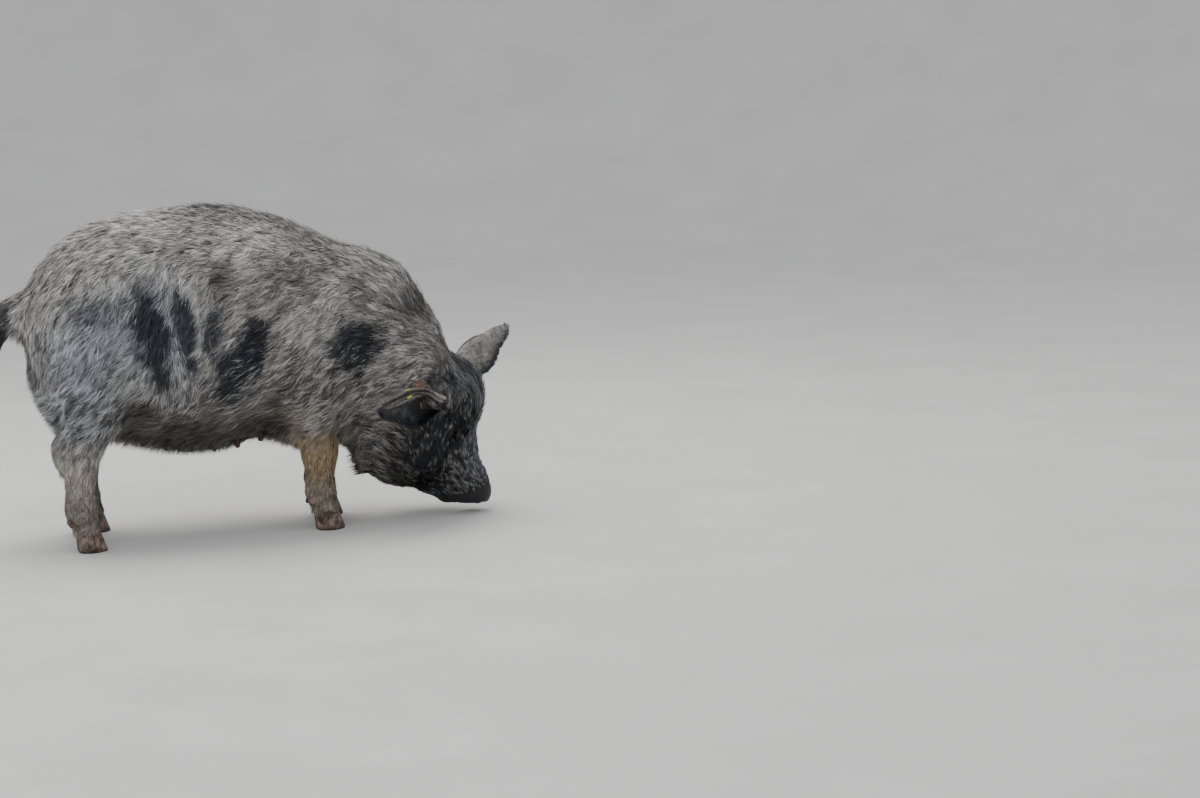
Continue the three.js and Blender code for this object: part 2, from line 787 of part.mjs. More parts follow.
function mouthPath(lift, sink) {
  const half = (side) => MOUTH_LINE.map(([down, dorsal]) => {
    const direction = headVector(0, 0, side);
    const from = alongLine(headPoint(down, dorsal + lift, 0), direction, 200);
    return alongLine(firstHit(coreSurface, from, direction.clone().negate()), direction, -sink);
  });
  const [down, dorsal] = MOUTH_LINE[0];
  const front = headPoint(down + 18 - sink, dorsal + lift * 0.6, 0);
  return [...half(RIGHT).reverse(), front, ...half(LEFT)];
}

function taper(path, middle, end) {
  return path.map((_, i) => end + (middle - end) * Math.sin((Math.PI * i) / (path.length - 1)) ** 0.5);
}

function lips() {
  const upper = mouthPath(6, 2);
  const lower = mouthPath(-6, 2);
  return unite([bar(upper, taper(upper, 4.5, 2), 5), bar(lower, taper(lower, 4, 2), 5)]);
}

// A thin blade that follows the mouth and cuts into the flesh
function mouthCut() {
  const outer = mouthPath(0, -8);
  const inner = mouthPath(0, 7);
  const rings = outer.map((point, i) => {
    const edge = DORSAL.clone().multiplyScalar(1.3);
    return [point.clone().add(edge), point.clone().sub(edge), inner[i].clone().sub(edge), inner[i].clone().add(edge)];
  });
  return loft(rings);
}

// Snout

const DISC_NORMAL = FACE_DOWN.clone().multiplyScalar(Math.cos(DISC_TILT)).addScaledVector(DORSAL, Math.sin(DISC_TILT));
const DISC_BACK = headPoint(DISC_PLACE, 2, 0);

function snoutDisc() {
  const across = HEAD_LEFT;
  const up = across.clone().cross(DISC_NORMAL);
  const profile = [[0, 0.9], [0.3, 1], [0.75, 1.02], [1, 0.9]];
  const around = 20;
  const rings = profile.map(([depth, scale]) => Array.from({ length: around }, (_, i) => {
    const angle = (2 * Math.PI * i) / around;
    const p = alongLine(DISC_BACK, DISC_NORMAL, GAP + depth * DISC_THICK);
    p.addScaledVector(across, Math.cos(angle) * DISC_WIDE * scale);
    return p.addScaledVector(up, Math.sin(angle) * DISC_DEEP * scale);
  }));
  const face = alongLine(DISC_BACK, DISC_NORMAL, DISC_THICK);
  const nostril = (side) => {
    const centre = alongLine(face, across, side * NOSTRIL_APART);
    return ball(centre, [6, 8.5, 9], [across, up, DISC_NORMAL], 10, 8);
  };
  const disc = loft(rings).subtract(nostril(LEFT)).subtract(nostril(RIGHT));
  return largestPiece(keepBeyond(disc, vec(0, 0, 0), vec(0, 0, 1), 0));
}

// Ears: a bent leaf whose section is an arc, closed like a tube at the root and open at the tip

const EARS = {
  right: { root: vec(350, -146, 248), tip: vec(206, -229, 254), open: vec(-0.3, -0.93, -0.2), droop: 12, blunt: 5 },
  left: { root: vec(420, 8, 280), tip: vec(553, 66, 366), open: vec(0.35, 0.75, -0.35), droop: 10, blunt: 3 },
};
const EAR_HALF_WIDTH = 47;
const EAR_THICK = 4.5;
const EAR_LONG_STEPS = 6;
const EAR_CROSS_STEPS = 7;

function earSeat(ear) {
  return ear.root.clone().lerp(ear.tip, 0.14);
}

// The point of an ear's middle sheet, u from root to tip and w from rim to rim, with its direction out of the back
function earPoint(ear, u, w) {
  const along = ear.tip.clone().sub(ear.root);
  const unit = along.clone().normalize();
  const open = ear.open.clone().addScaledVector(unit, -ear.open.dot(unit)).normalize();
  const across = unit.clone().cross(open);
  const swell = 0.62 + 0.38 * Math.sin(Math.PI * Math.min(u * 1.35, 1));
  const halfWidth = EAR_HALF_WIDTH * swell * Math.sqrt(1.02 - u ** ear.blunt);
  const halfAngle = THREE.MathUtils.degToRad(118 - 82 * smoothstep(0, 0.75, u));
  const radius = halfWidth / Math.max(halfAngle, 0.7);
  const angle = halfAngle * w;
  const bend = ear.droop * u * u;
  const middle = alongLine(ear.root, along, u);
  middle.addScaledVector(open, bend - radius * (1 - smoothstep(0, 0.5, u)) * 0.6);
  const point = middle.addScaledVector(across, radius * Math.sin(angle));
  point.addScaledVector(open, radius * (1 - Math.cos(angle)));
  const back = across.clone().multiplyScalar(Math.sin(angle)).addScaledVector(open, -Math.cos(angle));
  return { point, back };
}

function earSolid(ear) {
  const points = [];
  const wide = EAR_CROSS_STEPS + 1;
  [1, -1].forEach((face) => {
    for (let i = 0; i <= EAR_LONG_STEPS; i += 1) {
      for (let j = 0; j < wide; j += 1) {
        const w = -1 + (2 * j) / EAR_CROSS_STEPS;
        const { point, back } = earPoint(ear, i / EAR_LONG_STEPS, w);
        const half = (EAR_THICK / 2) * (1 - 0.5 * Math.abs(w));
        points.push(alongLine(point, back, face * half));
      }
    }
  });
  const layer = wide * (EAR_LONG_STEPS + 1);
  const at = (i, j, face) => face * layer + i * wide + j;
  const triangles = [];
  for (let i = 0; i < EAR_LONG_STEPS; i += 1) {
    for (let j = 0; j < EAR_CROSS_STEPS; j += 1) {
      triangles.push([at(i, j, 0), at(i + 1, j, 0), at(i + 1, j + 1, 0)]);
      triangles.push([at(i, j, 0), at(i + 1, j + 1, 0), at(i, j + 1, 0)]);
      triangles.push([at(i, j, 1), at(i + 1, j + 1, 1), at(i + 1, j, 1)]);
      triangles.push([at(i, j, 1), at(i, j + 1, 1), at(i + 1, j + 1, 1)]);
    }
  }
  const rim = [];
  for (let j = 0; j < EAR_CROSS_STEPS; j += 1) {
    rim.push([0, j]);
  }
  for (let i = 0; i < EAR_LONG_STEPS; i += 1) {
    rim.push([i, EAR_CROSS_STEPS]);
  }
  for (let j = EAR_CROSS_STEPS; j > 0; j -= 1) {
    rim.push([EAR_LONG_STEPS, j]);
  }
  for (let i = EAR_LONG_STEPS; i > 0; i -= 1) {
    rim.push([i, 0]);
  }
  rim.forEach(([i, j], n) => {
    const [k, m] = rim[(n + 1) % rim.length];
    triangles.push([at(i, j, 0), at(k, m, 0), at(k, m, 1)], [at(i, j, 0), at(k, m, 1), at(i, j, 1)]);
  });
  return facingOut(points, triangles);
}

// Ear tag: a pin through the upper rim of the right ear, a small button inside and a large one behind
const TAG_PLACE = [0.64, 0.86];
const TAG_BACK_RADIUS = 12;
const TAG_INNER_RADIUS = 6;
const TAG_PIN_RADIUS = 2.6;
const TAG_SPAN = 8;

function tagAxis() {
  const { point, back } = earPoint(EARS.right, ...TAG_PLACE);
  return { point, back };
}

function earTag() {
  const { point, back } = tagAxis();
  const stations = [-TAG_SPAN / 2 - 3, -TAG_SPAN / 2, TAG_SPAN / 2, TAG_SPAN / 2 + 3];
  const button = (from, to, radius) => bar([alongLine(point, back, from), alongLine(point, back, to)], [radius, radius], 16);
  const pin = bar([alongLine(point, back, stations[0] + 1), alongLine(point, back, stations[3] - 1)],
    [TAG_PIN_RADIUS, TAG_PIN_RADIUS], 10);
  return unite([
    button(stations[0], stations[1], TAG_INNER_RADIUS),
    button(stations[2], stations[3], TAG_BACK_RADIUS),
    pin,
  ]);
}

function tagBore() {
  const { point, back } = tagAxis();
  const radius = TAG_PIN_RADIUS + GAP;
  return bar([alongLine(point, back, -12), alongLine(point, back, 12)], [radius, radius], 10);
}

// Teats hang in two rows under the belly
function teats() {
  const shapes = [];
  Object.values(SIDES).forEach((side) => {
    for (let i = 0; i < TEAT_PAIRS; i += 1) {
      const x = TEAT_FIRST_X + ((TEAT_LAST_X - TEAT_FIRST_X) * i) / (TEAT_PAIRS - 1);
      const root = firstHit(coreSurface, vec(x, side * TEAT_APART, 60), vec(0, 0, 1));
      const away = vec(-0.1, side * 0.25, -1).normalize();
      const path = [alongLine(root, away, -14), alongLine(root, away, 6), alongLine(root, away, TEAT_LENGTH)];
      shapes.push(bar(path, [10, 7, 4.5], 5));
    }
  });
  return unite(shapes);
}

// Locks that hang round the last third of the tail
function tailSwitch() {
  return Array.from({ length: SWITCH_LOCKS }, (_, i) => {
    const turn = i * 2.4;
    const out = vec(Math.cos(turn), Math.sin(turn), 0);
    const across = vec(-out.y, out.x, 0);
    const level = TAIL_PATH.length - 1 - (1.7 * i) / (SWITCH_LOCKS - 1);
    const before = Math.floor(level);
    const start = TAIL_PATH[before].clone().lerp(TAIL_PATH[Math.min(before + 1, TAIL_PATH.length - 1)], level - before);
    const rings = [[0, 0.55, 2], [0.3, 1, 11], [0.65, 0.75, 14]].map(([share, wide, spread]) => {
      const centre = alongLine(start, vec(0.05, 0, -1), share * SWITCH_LENGTH).addScaledVector(out, spread);
      const half = (SWITCH_WIDTH * wide) / 2;
      return [alongLine(centre, across, -half), alongLine(centre, across, half), alongLine(centre, out, 5 - 2 * share)];
    });
    return loft(rings, alongLine(start, vec(0.05, 0, -1), SWITCH_LENGTH).addScaledVector(out, 9));
  });
}

// The named nodes

const pig = new THREE.Group();

function addNode(name, shape, colour, roughness = 0.8) {
  const clean = largestPiece(shape.asOriginal().simplify(FINE_DETAIL));
  const { vertProperties, triVerts } = clean.getMesh();
  const geometry = new THREE.BufferGeometry();
  geometry.setAttribute("position", new THREE.BufferAttribute(new Float32Array(vertProperties), 3));
  geometry.setIndex(new THREE.BufferAttribute(new Uint32Array(triVerts), 1));
  geometry.computeVertexNormals();
  const material = new THREE.MeshStandardMaterial({ color: colour, roughness, metalness: 0 });
  const mesh = new THREE.Mesh(geometry, material);
  mesh.name = name;
  pig.add(mesh);
  return clean;
}

// The lips, lids and sockets of the head, and its cuts at the disc and the ground
function finishHead(shape) {
  let head = keepBehind(shape, DISC_BACK, DISC_NORMAL).add(lips());
  head = keepBehind(head, DISC_BACK, DISC_NORMAL).subtract(mouthCut());
  Object.values(SIDES).forEach((side) => {
    head = head.add(lid(side, 30, 2.8)).add(lid(side, -28, 2.4));
  });
  Object.values(SIDES).forEach((side) => {
    head = head.subtract(eyeball(side, EYE_RADIUS + GAP));
  });
  return keepBeyond(head, vec(0, 0, CHIN_CLEAR), vec(0, 0, 1), 0);
}

function addHead(locks) {
  const low = headPoint(120, -60, 0).addScalar(-260);
  const high = headPoint(120, -60, 0).addScalar(260);
  const trim = (shape) => largestPiece(keepBeyond(shape, HEAD_CUT_POINT, HEAD_CUT_NORMAL));
  const bare = trim(meshField(coreSurface, low, high, HEAD_CELL));
  return addNode("head", withLocks(bare, locks, trim, finishHead), DARK);
}

function addNeck(locks) {
  const low = vec(120, -260, 20);
  const high = vec(470, 240, 620);
  const trim = (shape) => {
    const front = keepBehind(shape, HEAD_CUT_POINT, HEAD_CUT_NORMAL);
    const back = keepBeyond(front, NECK_CUT_POINT, NECK_CUT_NORMAL);
    return largestPiece(back.subtract(legZone(FORE_ZONE, LEFT, LEFT_FORE_AHEAD, GAP / 2)));
  };
  const bare = trim(meshField(coreSurface, low, high, NECK_CELL));
  return addNode("neck", withLocks(bare, locks, trim), TAUPE);
}

function addTorso(locks) {
  const low = vec(-520, -290, 100);
  const high = vec(310, 290, 730);
  const trim = (shape) => {
    let torso = keepBehind(shape, NECK_CUT_POINT, NECK_CUT_NORMAL);
    torso = keepBeyond(torso, vec(TAIL_CUT_X, 0, 0), vec(1, 0, 0));
    Object.values(SIDES).forEach((side) => {
      torso = torso.subtract(legZone(FORE_ZONE, side, side === LEFT ? LEFT_FORE_AHEAD : 0, GAP / 2));
      torso = torso.subtract(legZone(HIND_ZONE, side, side === LEFT ? LEFT_HIND_AHEAD : 0, GAP / 2));
    });
    return largestPiece(torso);
  };
  const bare = trim(meshField(coreSurface, low, high, TORSO_CELL));
  addNode("torso", withLocks(bare, locks, trim, (shape) => shape.add(teats())), TAUPE);
}

function addLegs() {
  const kinds = [
    ["foreleg", FORE_ZONE, LEFT_FORE_AHEAD, true],
    ["hindleg", HIND_ZONE, LEFT_HIND_AHEAD, false],
  ];
  kinds.forEach(([kind, zone, leftAhead, foreFoot]) => {
    Object.entries(SIDES).forEach(([name, side]) => {
      const ahead = side === LEFT ? leftAhead : 0;
      const foot = footPlace(foreFoot, side, ahead);
      const flesh = legSolid(coreSurface, zone, side, ahead);
      const leg = addNode(`${kind}_${name}`, keepBeyond(flesh, hoofLinePoint(foot), HOOF_LINE_NORMAL), CREAM);
      [["outer", side], ["inner", -side]].forEach(([which, outside]) => {
        addNode(`claw_${kind}_${name}_${which}`, claw(foot, outside), CLAW_COLOUR, 0.5);
        const spur = seatOn(dewclaw(foot, outside), leg, vec(-1, outside * 0.3, -0.4));
        addNode(`dewclaw_${kind}_${name}_${which}`, spur, CLAW_COLOUR, 0.5);
      });
    });
  });
}

function addTail() {
  const flesh = bar(TAIL_PATH, TAIL_RADII, 9);
  const tail = wasm.Manifold.union([flesh, ...tailSwitch()]);
  addNode("tail", keepBehind(tail, vec(TAIL_CUT_X, 0, 0), vec(1, 0, 0)), DARK);
}

function addEyesAndSnout() {
  Object.entries(SIDES).forEach(([name, side]) => {
    addNode(`eye_${name}`, eyeball(side, EYE_RADIUS), EYE_COLOUR, 0.15);
  });
  addNode("snout_disc", snoutDisc(), SNOUT_COLOUR, 0.5);
}

function addEars(head, neck) {
  Object.entries(EARS).forEach(([name, ear]) => {
    const away = ear.tip.clone().sub(ear.root);
    let shape = seatOn(earSolid(ear), head, away);
    shape = seatOn(shape, neck, vec(0, Math.sign(away.y), 0.2));
    if (name === "right") {
      shape = shape.subtract(tagBore());
    }
    addNode(`ear_${name}`, shape, TAUPE);
  });
  addNode("ear_tag", earTag(), TAG_COLOUR, 0.4);
}

function centreOnFloor(group) {
  const bounds = new THREE.Box3().setFromObject(group, true);
  const middle = bounds.getCenter(vec(0, 0, 0));
  group.position.set(-middle.x, -middle.y, 0);
}

const locks = coatLocks();
const headSolid = addHead(locks);
const neckSolid = addNeck(locks);
addTorso(locks);
addEyesAndSnout();
addLegs();
addTail();
addEars(headSolid, neckSolid);
centreOnFloor(pig);

export default pig;
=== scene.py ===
import math

import bmesh
import bpy
import numpy as np
from mathutils import Matrix, Vector


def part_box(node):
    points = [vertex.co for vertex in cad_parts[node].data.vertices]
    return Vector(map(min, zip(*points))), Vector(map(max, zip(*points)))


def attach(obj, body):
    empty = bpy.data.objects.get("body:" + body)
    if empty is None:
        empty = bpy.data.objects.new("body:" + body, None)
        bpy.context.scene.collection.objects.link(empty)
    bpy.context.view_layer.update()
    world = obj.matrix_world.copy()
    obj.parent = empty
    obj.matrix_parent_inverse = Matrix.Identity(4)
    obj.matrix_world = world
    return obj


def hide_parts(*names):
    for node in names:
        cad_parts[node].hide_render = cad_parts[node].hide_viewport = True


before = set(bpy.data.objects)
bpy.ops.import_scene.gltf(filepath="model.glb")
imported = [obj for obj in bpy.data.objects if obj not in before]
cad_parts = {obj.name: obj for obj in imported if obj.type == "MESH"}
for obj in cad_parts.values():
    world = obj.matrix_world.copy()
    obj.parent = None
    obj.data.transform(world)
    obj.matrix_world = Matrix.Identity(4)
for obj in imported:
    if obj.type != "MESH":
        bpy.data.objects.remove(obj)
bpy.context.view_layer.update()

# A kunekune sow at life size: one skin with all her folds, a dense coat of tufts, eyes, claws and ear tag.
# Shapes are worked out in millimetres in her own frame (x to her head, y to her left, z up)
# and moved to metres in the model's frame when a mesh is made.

RANDOM = np.random.default_rng(20)
MM = 0.001

RIGHT = -1
LEFT = 1

# The skin's mesh: its box, the size of its cells, and the step that measures the slope of its field
SKIN_LOW = (-530, -232, 20)
SKIN_HIGH = (500, 232, 670)
SKIN_CELL = 5.5
SETTLE_STEP = 0.6

# Legs
FORE_X = 113
HIND_X = -371
LEFT_FORE_AHEAD = 38
LEFT_HIND_AHEAD = 42
FORE_FOOT_Y = 90
HIND_FOOT_Y = 120

# Head
HEAD_YAW = math.radians(-26)
HEAD_TILT = math.radians(2)
HEAD_ROLL = math.radians(6)

# Snout disc
DISC_PLACE = 287
DISC_WIDE = 39
DISC_DEEP = 35
DISC_THICK = 15
DISC_TILT = math.radians(20)
NOSTRIL_APART = 14

# Eyes, how far they stand out, and the depth of the coat round them
EYE_RADIUS = 12
EYE_PROUD = 3.5
FACE_COAT = 3

# Ears, and the tag's place as shares of the right ear's length and half width
EAR_HALF_WIDTH = 47
EAR_THICK = 4.5
TAG_PLACE = (0.64, 0.86)

# Tail
TAIL_PATH = [(-425, 0, 474), (-458, 3, 466), (-488, 8, 441), (-509, 12, 398),
             (-520, 14, 338), (-522, 14, 277), (-518, 12, 232)]
TAIL_RADII = [30, 24, 19, 15, 12, 11, 7]

# Claws
CLAW_LENGTH = 58
CLAW_WIDTH = 27
CLAW_HEIGHT = 40
CLAW_CLEFT = 3

# Teats
TEAT_PAIRS = 7
TEAT_FIRST_X = -232
TEAT_LAST_X = 52
TEAT_APART = 52
TEAT_LENGTH = 20

# Tufts on each square centimetre of skin
TRUNK_TUFTS = 25
FACE_TUFTS = 30
LEG_TUFTS = 34
TAIL_TUFTS = 20
SWITCH_TUFTS = 22

# Stations of a tuft: the share of its length, and its width there beside its full width
SHORT_STATIONS = [(0, 0.9), (0.5, 0.9), (1.0, 0)]
LONG_STATIONS = [(0, 0.8), (0.34, 1.0), (0.7, 0.7), (1.0, 0)]

# The coat: how deep roots sink, how early hair rises, its gap above the floor, and how light ears' roots are
ROOT_SINK = 1.0
RISE_CURVE = 1.8
FLOOR_GAP = 1.5
EAR_ROOT_LIGHT = 0.45

# Small clumps that hair draws together in, and the seed of how light or dark each clump is
CLUMP_SIZE = 7.5
STRENGTH_SEED = 9.3

# Pieces of the trunk's coat: where each begins and ends along x
TRUNK_PIECES = {
    "rump": (-math.inf, -230),
    "barrel": (-230, -60),
    "ribs": (-60, 80),
    "shoulder": (80, 200),
    "neck": (200, math.inf),
}

# Camera: its place and its look in the sow's frame
CAMERA_PLACE = (-1125.27, -5732.0, 950.0)
CAMERA_YAW = math.radians(18)
CAMERA_PITCH = math.radians(7.013)
CAMERA_ROLL = math.radians(-2)
CAMERA_LENS = 87


# Vectors

def vec(*values):
    return np.array(values, float)


def unit(v):
    return v / np.linalg.norm(v)


def units(vectors):
    return vectors / np.maximum(np.linalg.norm(vectors, axis=1), 1e-9)[:, None]


def smoothstep(low, high, value):
    t = np.clip((value - low) / (high - low), 0, 1)
    return t * t * (3 - 2 * t)


def fall(low, high, value):
    """One at low and before it, nought from high on, with a soft step between."""
    return 1 - smoothstep(low, high, value)


def across_surface(directions, normals):
    return units(directions - normals * np.sum(directions * normals, axis=1)[:, None])


def head_axes():
    up = vec(0, 0, 1)
    ahead = vec(math.cos(HEAD_YAW), math.sin(HEAD_YAW), 0)
    across = np.cross(up, ahead)
    down = ahead * math.sin(HEAD_TILT) - up * math.cos(HEAD_TILT)
    dorsal = ahead * math.cos(HEAD_TILT) + up * math.sin(HEAD_TILT)
    face_down = down * math.cos(HEAD_ROLL) + across * math.sin(HEAD_ROLL)
    head_left = across * math.cos(HEAD_ROLL) - down * math.sin(HEAD_ROLL)
    return face_down, dorsal, head_left


FACE_DOWN, DORSAL, HEAD_LEFT = head_axes()
HEAD_ORIGIN = vec(418, -52, 318)
HEAD_FRAME = np.stack([FACE_DOWN, DORSAL, HEAD_LEFT], axis=1)


def head_vector(down, dorsal, left):
    return FACE_DOWN * down + DORSAL * dorsal + HEAD_LEFT * left


def head_point(down, dorsal, left):
    return HEAD_ORIGIN + head_vector(down, dorsal, left)


DISC_NORMAL = FACE_DOWN * math.cos(DISC_TILT) + DORSAL * math.sin(DISC_TILT)
DISC_UP = np.cross(HEAD_LEFT, DISC_NORMAL)
DISC_BACK = head_point(DISC_PLACE, 2, 0)
FACE_POINT = head_point(-20, -45, 0)
FACE_NORMAL = head_vector(0.52, 0.856, 0)


# Smooth noise: a sum of waves in random directions

class Noise:
    def __init__(self, size, waves=20, seed=1):
        source = np.random.default_rng(seed)
        directions = units(source.normal(size=(waves, 3)))
        self.waves = directions * (2 * math.pi / (size * source.uniform(0.6, 1.6, waves)))[:, None]
        self.phases = source.uniform(0, 2 * math.pi, waves)

    def __call__(self, points):
        total = np.zeros(len(points))
        for wave, phase in zip(self.waves, self.phases):
            total += np.sin(points @ wave + phase)
        return total / math.sqrt(len(self.phases) / 2)


# Fields: the distance of many points to a surface, below zero inside

def ellipsoid(points, centre, radii, axes=None):
    q = points - centre
    if axes is not None:
        q = q @ axes
    radii = vec(*radii)
    k = np.linalg.norm(q / radii, axis=1)
    slope = np.linalg.norm(q / radii ** 2, axis=1) + 1e-9
    return k * (k - 1) / slope


def cone(points, start, end, start_radius, end_radius):
    start = vec(*start)
    axis = vec(*end) - start
    q = points - start
    h = np.clip(q @ axis / (axis @ axis), 0, 1)
    return np.linalg.norm(q - h[:, None] * axis, axis=1) - (start_radius + h * (end_radius - start_radius))


def chain(points, path, radii, radius=4):
    total = None
    for i in range(len(path) - 1):
        part = cone(points, path[i], path[i + 1], radii[i], radii[i + 1])
        total = part if total is None else blend(total, part, radius)
    return total


def blend(a, b, radius):
    h = np.clip(0.5 + 0.5 * (b - a) / radius, 0, 1)
    return b + (a - b) * h - radius * h * (1 - h)


def carve(a, b, radius):
    return -blend(-a, b, radius)


# Soft masses of trunk and neck: middle, radii along x, y and z, and how softly each joins the ones before it
TORSO_MASSES = [
    ((-98, 0, 414), (330, 206, 234), 0),
    ((-262, 0, 442), (170, 168, 174), 50),
    ((95, 0, 405), (170, 172, 172), 50),
    ((120, 0, 300), (115, 125, 125), 40),
]
NECK_MASSES = [
    ((222, -14, 368), (138, 142, 180), 0),
    ((308, -36, 298), (90, 116, 130), 40),
    ((286, -38, 208), (94, 124, 134), 40),
]


def masses_field(points, masses):
    total = None
    for centre, radii, softness in masses:
        mass = ellipsoid(points, vec(*centre), radii)
        total = mass if total is None else blend(total, mass, softness)
    return total


def hind_leg_field(p, side, ahead):
    foot_y = side * HIND_FOOT_Y
    d = ellipsoid(p, vec(-332 + ahead * 0.3, side * 98, 388), (100, 80, 156))
    d = blend(d, cone(p, (-318 + ahead * 0.7, side * 116, 310), (-357 + ahead, side * 122, 215), 62, 36), 34)
    d = blend(d, cone(p, (HIND_X + 8 + ahead, side * 122, 215), (HIND_X + ahead, foot_y, 90), 34, 25), 22)
    return blend(d, cone(p, (HIND_X + ahead, foot_y, 90), (HIND_X + 13 + ahead, foot_y, 40), 26, 24), 12)


def fore_leg_field(p, side, ahead):
    foot_y = side * FORE_FOOT_Y
    d = ellipsoid(p, vec(90, side * 100, 365), (108, 78, 150))
    d = blend(d, cone(p, (92 + ahead * 0.6, side * 112, 275), (FORE_X + ahead, side * 96, 170), 58, 31), 36)
    d = blend(d, cone(p, (FORE_X + ahead, side * 96, 172), (FORE_X + ahead, foot_y, 85), 31, 26), 14)
    return blend(d, cone(p, (FORE_X + ahead, foot_y, 85), (FORE_X + 10 + ahead, foot_y, 40), 27, 24), 12)


def head_field(p):
    d = ellipsoid(p, head_point(70, -20, 0), (73, 64, 80), HEAD_FRAME)
    d = blend(d, cone(p, head_point(120, -40, 0), head_point(238, -14, 0), 60, 40), 30)
    for side in (LEFT, RIGHT):
        d = blend(d, ellipsoid(p, head_point(108, 4, side * 42), (34, 26, 26), HEAD_FRAME), 20)
    d = blend(d, cone(p, head_point(192, -104, 0), head_point(268, -46, 0), 68, 31), 36)
    for side in (LEFT, RIGHT):
        d = blend(d, ellipsoid(p, head_point(138, -98, side * 60), (94, 72, 56), HEAD_FRAME), 40)
    return blend(d, cone(p, head_point(250, -2, 0), head_point(276, 4, 0), 39, 40), 12)


def body_field(p):
    d = masses_field(p, TORSO_MASSES)
    for side, ahead in ((RIGHT, 0), (LEFT, LEFT_HIND_AHEAD)):
        d = blend(d, hind_leg_field(p, side, ahead), 40)
    for side, ahead in ((RIGHT, 0), (LEFT, LEFT_FORE_AHEAD)):
        d = blend(d, fore_leg_field(p, side, ahead), 36)
    for side in (RIGHT, LEFT):
        d = blend(d, cone(p, (-268, side * 146, 318), (-150, side * 158, 268), 16, 10), 24)
    d = blend(d, cone(p, (-400, 0, 470), (-470, 4, 460), 40, 24), 24)
    d = blend(d, masses_field(p, NECK_MASSES), 40)
    d = blend(d, head_field(p), 34)
    return blend(d, chain(p, TAIL_PATH, TAIL_RADII), 10)


def slope_of(field, points, values, step=1.0):
    slope = np.empty((len(points), 3))
    for i in range(3):
        shift = np.zeros(3)
        shift[i] = step
        slope[:, i] = (field(points + shift) - values) / step
    return slope


def march(field, start, direction, level=0.0, most_steps=400, close_enough=0.01):
    """The place where a walk from the start meets a field's level."""
    p = np.array(start, float)
    for _ in range(most_steps):
        distance = field(p[None])[0] - level
        if distance < close_enough:
            break
        p = p + direction * max(distance * 0.6, close_enough)
    return p


# Eyes: each sits just proud of the face, between its lids

def eye_place(side):
    outward = unit(head_vector(-0.1, 0.36, side * 0.9))
    on_face = march(body_field, head_point(146, -9, side * 40) + outward * 120, -outward, FACE_COAT)
    return on_face + outward * (EYE_PROUD - EYE_RADIUS), outward


def eye_axes(outward):
    """The ways along and up an eye."""
    dorsal = unit(DORSAL - outward * (DORSAL @ outward))
    return np.cross(outward, dorsal), dorsal


EYES = {RIGHT: eye_place(RIGHT), LEFT: eye_place(LEFT)}
EYE_BOX = [np.array(corner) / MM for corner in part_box("eye_right")]
SHIFT = (EYE_BOX[0] + EYE_BOX[1]) / 2 - EYES[RIGHT][0]
SHIFT[2] = 0


# Finer forms of the skin: lids, folds, lips, nostrils, knees, hocks and teats

MOUTH_LINE = [(277, -46), (258, -50), (236, -56), (212, -64), (188, -68), (168, -62)]


def mouth_path(lift, sink):
    def half(side):
        way = HEAD_LEFT * side
        starts = [head_point(down, dorsal + lift, 0) + way * 200 for down, dorsal in MOUTH_LINE]
        return [march(body_field, start, -way) - way * sink for start in starts]
    down, dorsal = MOUTH_LINE[0]
    front = head_point(down + 16 - sink, dorsal + lift * 0.6, 0)
    return half(RIGHT)[::-1] + [front] + half(LEFT)


def face_fold(down, reach, bow):
    """A crease across the top of the muzzle, as points on the face."""
    path = []
    for i in range(9):
        turn = -1 + i / 4
        direction = unit(DORSAL * math.cos(turn * reach) + HEAD_LEFT * math.sin(turn * reach))
        start = head_point(down - bow * turn * turn, -40, 0) + direction * 160
        path.append(march(body_field, start, -direction))
    return path


def surface_path(points):
    """Points given as places down, behind and beside the face, brought on to the skin from outside."""
    path = []
    for down, dorsal, left in points:
        direction = unit(head_vector(0, dorsal + 70, left))
        start = head_point(down, -70, 0) + direction * 220
        path.append(march(body_field, start, -direction))
    return path


MOUTH = mouth_path(0, 0)
UPPER_LIP = mouth_path(6.5, 2.5)
LOWER_LIP = mouth_path(-6.5, 2.5)
BRIDGE_FOLDS = [face_fold(down, reach, bow) for down, reach, bow in
                ((168, 1.15, 16), (184, 1.25, 20), (203, 1.3, 18), (226, 1.35, 14), (246, 1.4, 8))]


# Creases of a cheek, as places down, behind and beside the face
CHEEK_LINES = [
    [(150, -30, 70), (172, -44, 74), (196, -62, 76), (216, -84, 72)],
    [(112, -40, 90), (140, -64, 96), (170, -92, 96), (196, -120, 84)],
    [(60, -10, 80), (84, -2, 70), (104, 10, 52), (112, 22, 30)],
]
CHEEK_FOLDS = [surface_path([(down, dorsal, side * beside) for down, dorsal, beside in line])
               for side in (RIGHT, LEFT) for line in CHEEK_LINES]
FACE_CENTRE = head_point(170, -45, 0)


def lid_path(side, rise, reach_degrees=64, out=0.6):
    centre, outward = EYES[side]
    along, dorsal = eye_axes(outward)
    reach = math.radians(reach_degrees)
    path = []
    for i in range(9):
        turn = reach * (-1 + i / 4)
        lift = math.radians(rise) * math.cos(turn / reach * math.pi / 2)
        direction = outward * math.cos(lift) * math.cos(turn) + along * math.cos(lift) * math.sin(turn)
        path.append(centre + (direction + dorsal * math.sin(lift)) * (EYE_RADIUS + out))
    return path


def near(points, centre, distance):
    return np.linalg.norm(points - centre, axis=1) < distance


def within(points, path, reach):
    """Which points lie in the box round a path, grown by reach."""
    path = np.array(path)
    return np.all((points > path.min(axis=0) - reach) & (points < path.max(axis=0) + reach), axis=1)


def on_part(d, p, chosen, change):
    """Applies a change of the field to the chosen points only."""
    if chosen.any():
        d[chosen] = change(d[chosen], p[chosen])
    return d


def line_distance(points, path):
    return chain(points, path, [0] * len(path), 0.5)


